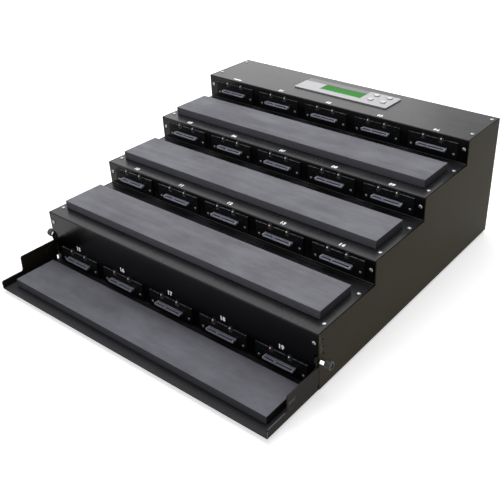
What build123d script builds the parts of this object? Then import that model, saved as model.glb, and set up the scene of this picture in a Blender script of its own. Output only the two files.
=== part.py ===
from build123d import *
from math import cos, radians, sin
import os

# A flat-bed hard drive duplicator: a stepped sheet-metal case with four rows of
# drive ports, a foam rest in front of each row, a control panel on the top deck
# and a front tray that folds up on two side knobs.
# Millimetres, +X to the right, +Y to the back, +Z up. The origin is on the
# ground, midway between the tip of the open tray and the rear-most screw heads.

os.makedirs("parts", exist_ok=True)

# Case
case_width = 441.5
sheet = 1.2
cover_gap = 0.5
front_height = 74.4
tier_height = 31.85
top_tier_height = 34.3
tier_depth = 108.0
top_deck_depth = 91.0
foot_height = 4.0
foot_radius = 10.0
foot_taper = 1.0
foot_inset_x = 30.0
foot_inset_y = 32.0
flange = 11.0
bend_radius = 1.4
foot_reach = 2.2
foot_edge = 0.4
foot_bend = 1.8
rear_lip = 9.0
vent_length = 40.0
vent_width = 4.0
vent_count = 9
vent_spacing = 14.0

# Screws of the case
screw_radius = 1.4
screw_head_radius = 2.6
screw_head_height = 1.3
screw_length = 6.0
screw_clearance = 0.15
deck_screw_front = 18.0
deck_screw_back = 84.0
top_screw_front = 20.5
top_screw_margin = 11.0
riser_screw_drop = 13.5
edge_screw_margin = 25.0

# Ports: five in each of the four rows
port_rows = 4
ports_per_row = 5
board_width = 72.0
board_height = 24.5
board_base = 2.5
front_port_drop = 0.5
board_thickness = 1.6
board_side_margin = 14.75
board_screw_x = 31.0
board_screw_z = 11.0
peg_hole_x = 21.7
peg_hole_z = 20.5
peg_hole_radius = 0.9
window_width = 50.0
window_height = 13.0
connector_width = 42.0
connector_height = 3.0
connector_top = 16.6
connector_reach = 6.4
connector_corner = 0.4
lip_height = 1.3
jaw_height = 0.6
jaw_setback = 2.2
post_width = 1.6
slot_depth = 5.0
power_slot = 22.4
signal_slot = 12.0
slot_bridge = 2.4
key_drop = 0.9
key_width = 1.4
header_width = 46.0
header_height = 7.0
backplane_gap = 10.0
backplane_side_margin = 14.0
backplane_base = 2.0
backplane_height = 24.0
standoff_radius = 2.6

# Lamps beside each port
red_lamp_x = -14.0
green_lamp_x = 12.0
lamp_height = 26.4
lamp_radius = 1.9
lamp_reach = 3.0
lamp_rim_radius = 2.3
lamp_rim = 1.0
holder_radius = 2.8
holder_flange_radius = 3.6
holder_flange = 0.8
holder_length = 4.0
lamp_clearance = 0.1
board_bite_radius = 4.4

# Foam rests
pad_side_margin = 12.25
pad_shift = 1.8
pad_depth = 59.3
pad_height = 10.9
pad_setback = 21.0
pad_corner = 0.6

# Control panel
plate_width = 158.0
plate_depth = 44.0
plate_thickness = 1.6
plate_setback = 30.5
plate_corner = 1.5
display_x = -6.5
display_setback = 13.0
display_width = 70.0
display_depth = 19.0
window_thickness = 1.2
window_gap = 0.15
frame_width = 73.0
frame_depth = 25.0
frame_height = 7.0
display_board_width = 80.0
display_board_depth = 36.0
button_x = 54.0
button_setback = 17.6
button_spacing_x = 20.7
button_spacing_y = 18.0
button_radius = 4.0
button_proud = 1.2
button_travel = 0.8
button_clearance = 0.3
button_rim = 1.1
button_rim_height = 1.2
button_stem_radius = 2.0
button_dome = 0.5
touch_gap = 0.1
key_board_width = 40.0
key_board_depth = 29.0
key_board_drop = 9.0
switch_side = 6.0
switch_height = 3.5
plunger_radius = 1.6
plunger_height = 0.8
boss_radius = 2.0
boss_edge = 2.7
deck_hole_margin = 2.5

# Front tray and its pivots
tray_reach = 87.4
tray_sheet = 1.5
tray_gap = 0.8
tray_wall = 32.2
tray_lip = 11.4
tray_step = 54.5
tray_step_slant = 1.2
tray_corner = 2.5
tray_pad_depth = 57.4
tray_pad_setback = 16.3
tray_notch_width = 2.2
tray_notch_height = 7.5
pivot_back = 3.5
pivot_height = 37.4
pivot_radius = 3.0
pivot_clearance = 0.06
ear_sheet = 1.2
ear_radius = 7.5
ear_reach = 20.0
ear_low = 9.0
ear_high = 20.0
ear_neck = 24.0
ear_slot_gap = 0.3
ear_slot_low = 24.0
ear_slot_high = 46.0
nut_radius = 5.6
nut_thickness = 3.2
knob_radius = 5.2
knob_length = 7.4
knob_standoff = 6.0
knob_recess_radius = 3.2
knob_recess_depth = 1.6
knob_ribs = 20
rib_width = 0.7
rib_depth = 0.45
collar_radius = 4.0
collar_chamfer = 0.5
collar_gap = 0.3
shank_tang = 4.0
shank_tang_radius = 1.8
index_hole_radius = 1.2
index_setback = 6.4
index_low_setback = 8.2
index_low_height = 45.5
index_middle_height = 56.2
index_high_height = 64.8

# Power supply with its mains inlet and switch
supply_side_margin = 30.25
supply_width = 81.5
supply_depth = 150.0
supply_height = 40.5
supply_wall = 1.0
supply_port_margin = 5.0
supply_board_margin = 6.0
supply_board_lift = 5.0
supply_part_height = 24.0
inlet_x = -18.0
inlet_width = 31.0
inlet_height = 23.0
inlet_depth = 18.0
inlet_lip = 1.8
inlet_cavity_width = 24.0
inlet_cavity_height = 16.0
inlet_cavity_depth = 15.0
inlet_corner = 4.0
pin_width = 2.0
pin_height = 4.0
pin_spread = 7.0
pin_raise = 2.0
pin_length = 12.0
switch_x = 20.0
switch_width = 19.0
switch_opening = 13.0
switch_lip = 1.5
switch_depth = 14.0
rocker_gap = 0.4
rocker_reach = 7.0
rocker_proud = 2.6
rocker_dip = 0.9
axle_radius = 1.2
axle_clearance = 0.06
axle_drop = 1.8
rocker_tilt = 8.0

# Rear fans
fan_side = 80.0
fan_depth = 25.0
fan_side_margin = 80.0
fan_spacing = 100.0
fan_height = 108.0
fan_bore_radius = 38.0
fan_hole_spacing = 71.5
fan_hole_radius = 2.15
fan_base_radius = 17.0
fan_base = 3.0
fan_strut = 3.0
rotor_hub_radius = 16.0
rotor_radius = 36.2
rotor_hub_length = 18.0
rotor_gap = 0.8
rotor_blades = 7
blade_chord = 18.0
blade_thickness = 1.4
blade_angle = 38.0
shaft_radius = 1.5
shaft_clearance = 0.05
guard_thickness = 1.2
guard_wire = 1.7
guard_ring_radius = 37.0
guard_ring_spacing = 8.0
guard_ring_count = 4
guard_hub_radius = 6.0
guard_tab_radius = 4.4
fan_screw_radius = 2.0
fan_screw_head_radius = 3.8
fan_screw_head = 1.6
fan_screw_length = 9.0

# Controller board and wiring
controller_width = 180.0
controller_depth = 120.0
controller_side_margin = 100.0
controller_setback = 130.0
controller_lift = 8.0
controller_hole_inset = 5.0
header_block_width = 30.0
header_block_depth = 8.0
header_block_height = 6.0
chip_side = 34.0
chip_height = 3.0
sink_side = 50.0
sink_base = 4.0
sink_height = 24.0
sink_fins = 9
sink_fin = 1.6
ribbon_width = 26.0
ribbon_thickness = 1.0
ribbon_spacing = 40.0
cable_height = 20.0
lead_radius = 2.5
lead_spacing = 14.0
lead_run_share = 0.5
lead_bend_share = 0.35
loop_height = 118.0

# Where the case stands
screw_hole = screw_radius + screw_clearance
rear_proud = guard_thickness + fan_screw_head
case_depth = (port_rows - 1) * tier_depth + top_deck_depth
total_depth = tray_reach + case_depth + rear_proud
panel_y = tray_reach - total_depth / 2
back_y = panel_y + case_depth
riser_y = [panel_y + row * tier_depth for row in range(port_rows)]
case_z = foot_height
levels = [case_z, case_z + front_height]
levels += [levels[1] + tier_height, levels[1] + 2 * tier_height]
levels.append(levels[-1] + top_tier_height)
top_z = levels[-1]
port_levels = [levels[0] - front_port_drop, *levels[1:-1]]
side_x = case_width / 2
inner_x = side_x - sheet
cover_half = inner_x - cover_gap
flange_x = inner_x - flange
screw_x = inner_x - flange / 2
port_pitch = (case_width - 2 * board_side_margin - board_width) / (ports_per_row - 1)
backplane_width = case_width - 2 * backplane_side_margin
pad_width = case_width - 2 * pad_side_margin
supply_x = supply_side_margin + supply_width / 2 - side_x
controller_x = side_x - controller_side_margin - controller_width / 2
pivot_y = panel_y + pivot_back
pivot_z = case_z + pivot_height
floor_z = case_z + sheet
ear_face = side_x - tray_sheet
nut_face = ear_face - ear_sheet - nut_thickness
ear_slot_x = nut_face - ear_slot_gap
ear_slot_z = case_z + (ear_slot_low + ear_slot_high) / 2
ear_slot_height = ear_slot_high - ear_slot_low
plate_y = riser_y[-1] + plate_setback + plate_depth / 2
display_y = riser_y[-1] + plate_setback + display_setback + display_depth / 2
button_y = riser_y[-1] + plate_setback + button_setback + button_spacing_y / 2
index_holes = [
    (panel_y + index_low_setback, case_z + index_low_height),
    (panel_y + index_setback, case_z + index_middle_height),
    (panel_y + index_setback, case_z + index_high_height),
]


def write(piece, name):
    """Label one finished piece and write its STEP file."""
    piece.part.label = name
    export_step(piece.part, f"parts/{name}.step")


def front_plane(y):
    """The upright plane at y that faces the front: local x is X, local y is Z."""
    return Plane.XZ.offset(-y)


def side_plane(x):
    """The upright plane at x that faces +X: local x is Y, local y is Z."""
    return Plane.YZ.offset(x)


def case_outline(inset):
    """The stepped side outline of the case in Y and Z, drawn in by inset."""
    points = [(panel_y + inset, case_z + inset), (back_y - inset, case_z + inset)]
    for row in reversed(range(port_rows)):
        height = levels[row + 1] - inset
        depth = back_y if row == port_rows - 1 else riser_y[row + 1] + 2 * inset
        points += [(depth - inset, height), (riser_y[row] + inset, height)]
    return points


def deck_screw_rows(row):
    """Y of the two screw lines that hold the deck of one tier."""
    if row == port_rows - 1:
        return riser_y[row] + top_screw_front, back_y - top_screw_margin
    return riser_y[row] + deck_screw_front, riser_y[row] + deck_screw_back


def deck_screw_points(row):
    return [(side * screw_x, y) for y in deck_screw_rows(row) for side in (-1, 1)]


def riser_screw_points(row):
    return [(side * screw_x, levels[row + 1] - riser_screw_drop) for side in (-1, 1)]


def edge_screw_points_base():
    """X and Y of the screws that hold the base pan to the side panels."""
    span = case_depth - 2 * edge_screw_margin
    rows = [panel_y + edge_screw_margin + span * step / 2 for step in range(3)]
    return [(side * screw_x, y) for y in rows for side in (-1, 1)]


def edge_screw_points_back():
    """X and Z of the screws that hold the back panel to the side panels."""
    span = top_z - case_z - 2 * edge_screw_margin
    rows = [case_z + edge_screw_margin + span * step / 2 for step in range(3)]
    return [(side * screw_x, z) for z in rows for side in (-1, 1)]


def lamp_spots(row):
    return [(x, port_levels[row] + lamp_height) for x in (red_lamp_x, green_lamp_x)]


def board_screw_spots(row):
    return [(x, port_levels[row] + board_screw_z) for x in (-board_screw_x, board_screw_x)]


def peg_spots(row):
    return [(x, port_levels[row] + peg_hole_z) for x in (-peg_hole_x, peg_hole_x)]


# Side panels: a stepped plate with an inward flange that the covers screw to
def make_side_panel(side):
    with BuildPart() as panel:
        with BuildSketch(side_plane(side * inner_x)):
            with BuildLine():
                Polyline(*case_outline(0), close=True)
            make_face()
        extrude(amount=side * sheet)
        with BuildSketch(side_plane(side * flange_x)):
            with BuildLine():
                Polyline(*case_outline(sheet), close=True)
            make_face()
            with BuildLine():
                Polyline(*case_outline(2 * sheet), close=True)
            make_face(mode=Mode.SUBTRACT)
        extrude(amount=side * flange)
        for row in range(port_rows):
            with BuildSketch(Plane.XY.offset(levels[row + 1])):
                with Locations(*deck_screw_points(row)):
                    Circle(screw_hole)
            extrude(amount=-3 * sheet, mode=Mode.SUBTRACT)
            with BuildSketch(front_plane(riser_y[row])):
                with Locations(*riser_screw_points(row)):
                    Circle(screw_hole)
            extrude(amount=-3 * sheet, mode=Mode.SUBTRACT)
        with BuildSketch(Plane.XY.offset(case_z)):
            with Locations(*edge_screw_points_base()):
                Circle(screw_hole)
        extrude(amount=3 * sheet, mode=Mode.SUBTRACT)
        with BuildSketch(front_plane(back_y)):
            with Locations(*edge_screw_points_back()):
                Circle(screw_hole)
        extrude(amount=3 * sheet, mode=Mode.SUBTRACT)
        with BuildSketch(front_plane(panel_y)):
            with Locations((side * (flange_x + inner_x) / 2, ear_slot_z)):
                Rectangle(flange, ear_slot_height + 2 * sheet)
        extrude(amount=-3 * sheet, mode=Mode.SUBTRACT)
        with BuildSketch(side_plane(0)):
            with Locations((pivot_y, pivot_z)):
                Circle(pivot_radius + pivot_clearance)
            with Locations(*index_holes):
                Circle(index_hole_radius)
        extrude(amount=side * 2 * side_x, mode=Mode.SUBTRACT)
    return panel


write(make_side_panel(-1), "side_panel_left")
write(make_side_panel(1), "side_panel_right")


# Base pan: the floor of the case, with vent slots under the controller board
def make_base_pan():
    with BuildPart() as pan:
        with BuildSketch(Plane.XY.offset(case_z)):
            with Locations((0, (panel_y + back_y) / 2)):
                Rectangle(2 * cover_half, case_depth)
            with Locations(*edge_screw_points_base()):
                Circle(screw_hole, mode=Mode.SUBTRACT)
            with Locations((controller_x, panel_y + controller_setback + controller_depth / 2)):
                with GridLocations(vent_spacing, controller_depth / 2, vent_count, 2):
                    SlotOverall(vent_length, vent_width, rotation=90, mode=Mode.SUBTRACT)
        extrude(amount=sheet)
    return pan


write(make_base_pan(), "base_pan")


# Feet: four tapered rubber discs under the base pan
def foot_points():
    front = panel_y + foot_inset_y
    back = back_y - foot_inset_y
    return [(side * (side_x - foot_inset_x), y) for y in (front, back) for side in (-1, 1)]


def make_feet():
    with BuildPart() as feet:
        with Locations(*foot_points()):
            Cone(
                foot_radius - foot_taper,
                foot_radius,
                foot_height,
                align=(Align.CENTER, Align.CENTER, Align.MIN),
            )
    return feet


write(make_feet(), "feet")


# Back panel: openings for the two fans and the power supply
def fan_spots():
    outer = side_x - fan_side_margin
    return [(x, case_z + fan_height) for x in (outer - fan_spacing, outer)]


def make_back_panel():
    supply_z = floor_z + supply_height / 2
    with BuildPart() as panel:
        with BuildSketch(front_plane(back_y)):
            with Locations((0, (floor_z + top_z) / 2)):
                Rectangle(2 * cover_half, top_z - floor_z)
            with Locations(*edge_screw_points_back()):
                Circle(screw_hole, mode=Mode.SUBTRACT)
            with Locations((supply_x, supply_z)):
                Rectangle(
                    supply_width - 2 * supply_port_margin,
                    supply_height - 2 * supply_port_margin,
                    mode=Mode.SUBTRACT,
                )
            with Locations(*fan_spots()):
                Circle(fan_bore_radius, mode=Mode.SUBTRACT)
                with GridLocations(fan_hole_spacing, fan_hole_spacing, 2, 2):
                    Circle(fan_hole_radius, mode=Mode.SUBTRACT)
        extrude(amount=sheet)
    return panel


write(make_back_panel(), "back_panel")


# Tier covers: each is one bent sheet, a deck with the riser below its front edge
def cover_profile(row):
    """The bent-sheet outline of one cover in Y and Z."""
    front = riser_y[row]
    deck = levels[row + 1]
    rear = back_y - sheet if row == port_rows - 1 else riser_y[row + 1] + rear_lip
    points = [(front, deck), (rear, deck), (rear, deck - sheet), (front + sheet, deck - sheet)]
    if row == 0:
        return [*points, (front + sheet, floor_z), (front, floor_z)]
    foot = levels[row]
    points += [(front + sheet, foot), (front - foot_reach, foot)]
    return [*points, (front - foot_reach, foot + foot_edge), (front, foot + foot_edge)]


def cut_port_holes(row):
    """The sketch of every hole in one riser, in X and Z."""
    base = port_levels[row]
    with GridLocations(port_pitch, 0, ports_per_row, 1):
        with Locations((0, base + connector_top - connector_height / 2)):
            Rectangle(window_width, window_height)
        with Locations(*lamp_spots(row)):
            Circle(holder_radius + lamp_clearance)
        with Locations(*board_screw_spots(row)):
            Circle(screw_hole)
    with Locations(*riser_screw_points(row)):
        Circle(screw_hole)


def make_tier_cover(row):
    with BuildPart() as cover:
        with BuildSketch(side_plane(0)):
            with BuildLine():
                Polyline(*cover_profile(row), close=True)
            make_face()
            corner = vertices().sort_by_distance((riser_y[row], levels[row + 1]))[0]
            fillet(corner, bend_radius)
            if row > 0:
                foot = (riser_y[row], levels[row] + foot_edge)
                fillet(vertices().sort_by_distance(foot)[0], foot_bend)
        extrude(amount=cover_half, both=True)
        with BuildSketch(front_plane(riser_y[row])):
            cut_port_holes(row)
        extrude(amount=-2 * sheet, mode=Mode.SUBTRACT)
        with BuildSketch(Plane.XY.offset(levels[row + 1])):
            with Locations(*deck_screw_points(row)):
                Circle(screw_hole)
        extrude(amount=-2 * sheet, mode=Mode.SUBTRACT)
        extrude(cover_openings(row), amount=-2 * sheet, mode=Mode.SUBTRACT)
        if row == 0:
            extrude(ear_slots(), amount=-2 * sheet, mode=Mode.SUBTRACT)
    return cover


def panel_hole():
    """Centre and size of the deck hole under the panel plate."""
    left = display_x - display_board_width / 2 - deck_hole_margin
    right = button_x + key_board_width / 2 + deck_hole_margin
    display_half = (display_board_depth + deck_hole_margin) / 2
    key_half = (key_board_depth + deck_hole_margin) / 2
    front = min(display_y - display_half, button_y - key_half)
    back = max(display_y + display_half, button_y + key_half)
    return ((left + right) / 2, (front + back) / 2), (right - left, back - front)


def cover_openings(row):
    """What is cut from a deck: the ends of its rear lip, or the panel's hole."""
    with BuildSketch(Plane.XY.offset(levels[row + 1])) as openings:
        if row == port_rows - 1:
            centre, size = panel_hole()
            with Locations(centre):
                Rectangle(*size)
        else:
            with Locations((0, riser_y[row + 1] + rear_lip)):
                with GridLocations(flange_x + side_x, 0, 2, 1):
                    Rectangle(side_x - flange_x + 2 * cover_gap, 2 * (rear_lip - cover_gap))
    return openings.sketch


def ear_slots():
    """The notches at both ends of the front riser for the tray's ears."""
    with BuildSketch(front_plane(panel_y)) as slots:
        with Locations((0, ear_slot_z)):
            with GridLocations(ear_slot_x + side_x, 0, 2, 1):
                Rectangle(side_x - ear_slot_x, ear_slot_height)
    return slots.sketch


for row in range(port_rows):
    write(make_tier_cover(row), f"tier_cover_{row + 1}")


# Foam rests on the three lower decks
def make_pad(x, front, base, depth):
    with BuildPart() as pad:
        with BuildSketch(Plane.XY.offset(base)):
            with Locations((x, front + depth / 2)):
                Rectangle(pad_width, depth)
        extrude(amount=pad_height)
        fillet(pad.edges().filter_by(Axis.Z), pad_corner)
    return pad


for row in range(port_rows - 1):
    pad = make_pad(-pad_shift, riser_y[row] + pad_setback, levels[row + 1], pad_depth)
    write(pad, f"foam_pad_{row + 1}")


# Port boards: small boards screwed to the face of each riser
def make_port_boards(row):
    base = port_levels[row]
    with BuildPart() as boards:
        with BuildSketch(front_plane(riser_y[row])):
            with GridLocations(port_pitch, 0, ports_per_row, 1):
                with Locations((0, base + board_base + board_height / 2)):
                    Rectangle(board_width, board_height)
                with Locations(*lamp_spots(row)):
                    Circle(board_bite_radius, mode=Mode.SUBTRACT)
                with Locations(*board_screw_spots(row)):
                    Circle(screw_hole, mode=Mode.SUBTRACT)
                with Locations(*peg_spots(row)):
                    Circle(peg_hole_radius, mode=Mode.SUBTRACT)
        extrude(amount=board_thickness)
    return boards


# Drive connectors: a short slot for data, a long one for power, each with a key
def make_connectors(row):
    face = riser_y[row] - board_thickness
    top = port_levels[row] + connector_top
    lip_top = top - connector_height + lip_height
    slots = signal_slot + slot_bridge + power_slot
    signal_end = signal_slot - slots / 2
    power_start = slots / 2 - power_slot
    with BuildPart() as connectors:
        with BuildSketch(front_plane(face)):
            with GridLocations(port_pitch, 0, ports_per_row, 1):
                with Locations((0, top - connector_height / 2)):
                    RectangleRounded(connector_width, connector_height, connector_corner)
        extrude(amount=connector_reach)
        with BuildSketch(front_plane(face - connector_reach)):
            with GridLocations(port_pitch, 0, ports_per_row, 1):
                with Locations((0, lip_top)):
                    Rectangle(
                        connector_width - 2 * post_width,
                        connector_height,
                        align=(Align.CENTER, Align.MIN),
                    )
        extrude(amount=-jaw_setback, mode=Mode.SUBTRACT)
        with BuildSketch(front_plane(face - connector_reach)):
            with GridLocations(port_pitch, 0, ports_per_row, 1):
                slot_z = (lip_top + top - jaw_height) / 2
                slot_height = top - jaw_height - lip_top
                with Locations((signal_end - signal_slot / 2, slot_z)):
                    Rectangle(signal_slot, slot_height)
                with Locations((power_start + power_slot / 2, slot_z)):
                    Rectangle(power_slot, slot_height)
                key_z = lip_top - key_drop / 2
                with Locations((signal_end - key_width / 2, key_z)):
                    Rectangle(key_width, key_drop)
                with Locations((power_start + key_width / 2, key_z)):
                    Rectangle(key_width, key_drop)
        extrude(amount=-slot_depth, mode=Mode.SUBTRACT)
    return connectors


for row in range(port_rows):
    write(make_port_boards(row), f"port_boards_{row + 1}")
    write(make_connectors(row), f"drive_connectors_{row + 1}")


# Backplanes: one long board behind each riser
def make_backplanes():
    with BuildPart() as boards:
        for row in range(port_rows):
            with BuildSketch(front_plane(riser_y[row] + backplane_gap)):
                with Locations((0, levels[row] + backplane_base + backplane_height / 2)):
                    Rectangle(backplane_width, backplane_height)
            extrude(amount=-board_thickness)
    return boards


write(make_backplanes(), "backplanes")


# Headers that join each port board to the backplane through the riser's window
def make_port_headers():
    with BuildPart() as headers:
        for row in range(port_rows):
            with BuildSketch(front_plane(riser_y[row])):
                with Locations((0, port_levels[row] + connector_top - connector_height / 2)):
                    with GridLocations(port_pitch, 0, ports_per_row, 1):
                        Rectangle(header_width, header_height)
            extrude(amount=-backplane_gap)
    return headers


write(make_port_headers(), "port_headers")


# Stand-offs that take the board screws and carry the backplanes
def board_screw_points(row):
    first = -port_pitch * (ports_per_row - 1) / 2
    centres = [first + port_pitch * port for port in range(ports_per_row)]
    return [(centre + x, z) for centre in centres for x, z in board_screw_spots(row)]


def make_port_standoffs():
    with BuildPart() as standoffs:
        for row in range(port_rows):
            with BuildSketch(front_plane(riser_y[row] + sheet)):
                with Locations(*board_screw_points(row)):
                    Circle(standoff_radius)
                    Circle(screw_hole, mode=Mode.SUBTRACT)
            extrude(amount=sheet - backplane_gap)
    return standoffs


write(make_port_standoffs(), "port_standoffs")


# Lamps and their holders
def make_lamps(x):
    with BuildPart() as lamps:
        for row in range(port_rows):
            face = riser_y[row]
            with BuildSketch(front_plane(face + holder_length)):
                with Locations((x, port_levels[row] + lamp_height)):
                    with GridLocations(port_pitch, 0, ports_per_row, 1):
                        Circle(lamp_radius)
            extrude(amount=holder_length + lamp_reach - lamp_radius)
            with BuildSketch(front_plane(face + holder_length)):
                with Locations((x, port_levels[row] + lamp_height)):
                    with GridLocations(port_pitch, 0, ports_per_row, 1):
                        Circle(lamp_rim_radius)
            extrude(amount=-lamp_rim)
            with Locations((x, face - lamp_reach + lamp_radius, port_levels[row] + lamp_height)):
                with GridLocations(port_pitch, 0, ports_per_row, 1):
                    Sphere(lamp_radius)
    return lamps


def lamp_rings(row, radius):
    with BuildSketch(front_plane(riser_y[row])) as rings:
        with GridLocations(port_pitch, 0, ports_per_row, 1):
            with Locations(*lamp_spots(row)):
                Circle(radius)
                Circle(lamp_radius + lamp_clearance, mode=Mode.SUBTRACT)
    return rings.sketch


def make_lamp_holders():
    with BuildPart() as holders:
        for row in range(port_rows):
            extrude(lamp_rings(row, holder_flange_radius), amount=holder_flange)
            extrude(lamp_rings(row, holder_radius), amount=-holder_length)
    return holders


write(make_lamps(red_lamp_x), "red_lamps")
write(make_lamps(green_lamp_x), "green_lamps")
write(make_lamp_holders(), "lamp_holders")


# Screws: pan heads with plain shanks
def discs(plane, points, radius):
    """Equal circles at points of a plane."""
    with BuildSketch(plane) as circles:
        with Locations(*points):
            Circle(radius)
    return circles.sketch


def add_screws(plane, points, radius, head_radius, head_height, length):
    """Add one screw at each point of a plane whose normal leaves the heads."""
    extrude(discs(plane, points, head_radius), amount=head_height)
    extrude(discs(plane, points, radius), amount=-length)


def make_board_screws():
    with BuildPart() as screws:
        for row in range(port_rows):
            plane = front_plane(riser_y[row] - board_thickness)
            points = board_screw_points(row)
            add_screws(plane, points, screw_radius, screw_head_radius, screw_head_height, screw_length)
    return screws


def make_cover_screws():
    sizes = (screw_radius, screw_head_radius, screw_head_height, screw_length)
    with BuildPart() as screws:
        for row in range(port_rows):
            add_screws(Plane.XY.offset(levels[row + 1]), deck_screw_points(row), *sizes)
            add_screws(front_plane(riser_y[row]), riser_screw_points(row), *sizes)
        below = Plane(origin=(0, 0, case_z), x_dir=(1, 0, 0), z_dir=(0, 0, -1))
        add_screws(below, [(x, -y) for x, y in edge_screw_points_base()], *sizes)
        behind = Plane(origin=(0, back_y, 0), x_dir=(-1, 0, 0), z_dir=(0, 1, 0))
        add_screws(behind, [(-x, z) for x, z in edge_screw_points_back()], *sizes)
    return screws


write(make_board_screws(), "board_screws")
write(make_cover_screws(), "cover_screws")


# Control panel plate, with bosses below for the display and the key board
def display_bosses():
    half_x = display_board_width / 2 - boss_edge
    half_y = display_board_depth / 2 - boss_edge
    return [(display_x + i * half_x, display_y + j * half_y) for i in (-1, 1) for j in (-1, 1)]


def key_bosses():
    half_x = key_board_width / 2 - boss_edge
    half_y = key_board_depth / 2 - boss_edge
    return [(button_x + i * half_x, button_y + j * half_y) for i in (-1, 1) for j in (-1, 1)]


def button_spots():
    half_x = button_spacing_x / 2
    half_y = button_spacing_y / 2
    return [(button_x + i * half_x, button_y + j * half_y) for j in (-1, 1) for i in (-1, 1)]


def make_panel_plate():
    with BuildPart() as plate:
        with BuildSketch(Plane.XY.offset(top_z)):
            with Locations((0, plate_y)):
                RectangleRounded(plate_width, plate_depth, plate_corner)
            with Locations((display_x, display_y)):
                Rectangle(display_width, display_depth, mode=Mode.SUBTRACT)
            with Locations(*button_spots()):
                Circle(button_radius + button_clearance, mode=Mode.SUBTRACT)
        extrude(amount=plate_thickness)
        with BuildSketch(Plane.XY.offset(top_z)):
            with Locations(*display_bosses()):
                Circle(boss_radius)
        extrude(amount=-frame_height)
        with BuildSketch(Plane.XY.offset(top_z)):
            with Locations(*key_bosses()):
                Circle(boss_radius)
        extrude(amount=-key_board_drop)
    return plate


def make_display_window():
    with BuildPart() as window:
        with BuildSketch(Plane.XY.offset(top_z)):
            with Locations((display_x, display_y)):
                Rectangle(display_width - 2 * window_gap, display_depth - 2 * window_gap)
        extrude(amount=window_thickness)
    return window


def make_display_module():
    with BuildPart() as module:
        with BuildSketch(Plane.XY.offset(top_z)):
            with Locations((display_x, display_y)):
                Rectangle(frame_width, frame_depth)
        extrude(amount=-frame_height)
        with BuildSketch(Plane.XY.offset(top_z - frame_height)):
            with Locations((display_x, display_y)):
                Rectangle(display_board_width, display_board_depth)
        extrude(amount=-board_thickness)
    return module


def make_key_board():
    with BuildPart() as board:
        with BuildSketch(Plane.XY.offset(top_z - key_board_drop)):
            with Locations((button_x, button_y)):
                Rectangle(key_board_width, key_board_depth)
        extrude(amount=-board_thickness)
        with BuildSketch(Plane.XY.offset(top_z - key_board_drop)):
            with Locations(*button_spots()):
                Rectangle(switch_side, switch_side)
        extrude(amount=switch_height)
        with BuildSketch(Plane.XY.offset(top_z - key_board_drop + switch_height)):
            with Locations(*button_spots()):
                Circle(plunger_radius)
        extrude(amount=plunger_height)
    return board


# Buttons: a low cap through the plate, with a rim that stops it below
def make_button(spot):
    rim_top = top_z - button_clearance
    stem_end = top_z - key_board_drop + switch_height + plunger_height + button_travel + touch_gap
    with BuildPart() as button:
        with BuildSketch(Plane.XY.offset(rim_top)):
            with Locations(spot):
                Circle(button_radius)
        extrude(amount=button_clearance + plate_thickness + button_proud)
        fillet(button.edges().group_by(Axis.Z)[-1], button_dome)
        with BuildSketch(Plane.XY.offset(rim_top)):
            with Locations(spot):
                Circle(button_radius + button_rim)
        extrude(amount=-button_rim_height)
        with BuildSketch(Plane.XY.offset(rim_top - button_rim_height)):
            with Locations(spot):
                Circle(button_stem_radius)
        extrude(amount=stem_end - rim_top + button_rim_height)
    return button


write(make_panel_plate(), "panel_plate")
write(make_display_window(), "display_window")
write(make_display_module(), "display_module")
write(make_key_board(), "key_board")
for number, spot in enumerate(button_spots(), start=1):
    write(make_button(spot), f"button_{number}")


# Front tray: a floor with a stepped wall at each side
tray_tip = panel_y - tray_reach
tray_back = panel_y - tray_gap


def tray_wall_outline():
    step = panel_y - tray_step
    return [
        (tray_tip, case_z),
        (tray_tip, case_z + tray_lip),
        (step - tray_step_slant, case_z + tray_lip),
        (step, case_z + tray_wall),
        (tray_back, case_z + tray_wall),
        (tray_back, case_z),
    ]


def make_tray():
    with BuildPart() as tray:
        with BuildSketch(Plane.XY.offset(case_z)):
            with Locations((0, (tray_tip + tray_back) / 2)):
                Rectangle(case_width, tray_back - tray_tip)
        extrude(amount=tray_sheet)
        for side in (-1, 1):
            with BuildSketch(side_plane(side * ear_face)):
                with BuildLine():
                    Polyline(*tray_wall_outline(), close=True)
                make_face()
                rounded = [(tray_tip, case_z + tray_lip), (panel_y - tray_step, case_z + tray_wall)]
                rounded.append((panel_y - tray_step - tray_step_slant, case_z + tray_lip))
                corners = [vertices().sort_by_distance(point)[0] for point in rounded]
                fillet(corners, tray_corner)
                with Locations((tray_back, case_z + tray_sheet)):
                    Rectangle(
                        2 * tray_notch_width,
                        tray_notch_height,
                        align=(Align.CENTER, Align.MIN),
                        mode=Mode.SUBTRACT,
                    )
            extrude(amount=side * tray_sheet)
        below = tray.edges().filter_by(Axis.Y).group_by(Axis.Z)[0]
        fillet(below.sort_by(Axis.X)[0], tray_sheet)
        fillet(tray.edges().filter_by(Axis.Y).group_by(Axis.Z)[0].sort_by(Axis.X)[-1], tray_sheet)
    return tray


# Tray ears: plates welded inside the walls that reach back to the pivots
def make_tray_ears():
    with BuildPart() as ears:
        for side in (-1, 1):
            with BuildSketch(side_plane(side * (ear_face - ear_sheet))):
                with BuildLine():
                    Polyline(
                        (panel_y - ear_reach, case_z + ear_low),
                        (tray_back, case_z + ear_low),
                        (tray_back, case_z + ear_neck),
                        (pivot_y, pivot_z),
                        (panel_y - ear_reach, case_z + ear_high),
                        close=True,
                    )
                make_face()
                with Locations((pivot_y, pivot_z)):
                    Circle(ear_radius)
                    Circle(pivot_radius + pivot_clearance, mode=Mode.SUBTRACT)
            extrude(amount=side * ear_sheet)
    return ears


write(make_tray(), "tray")
tray_pad_front = panel_y - tray_pad_setback - tray_pad_depth
write(make_pad(0, tray_pad_front, case_z + tray_sheet, tray_pad_depth), "tray_pad")
write(make_tray_ears(), "tray_ears")


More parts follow.
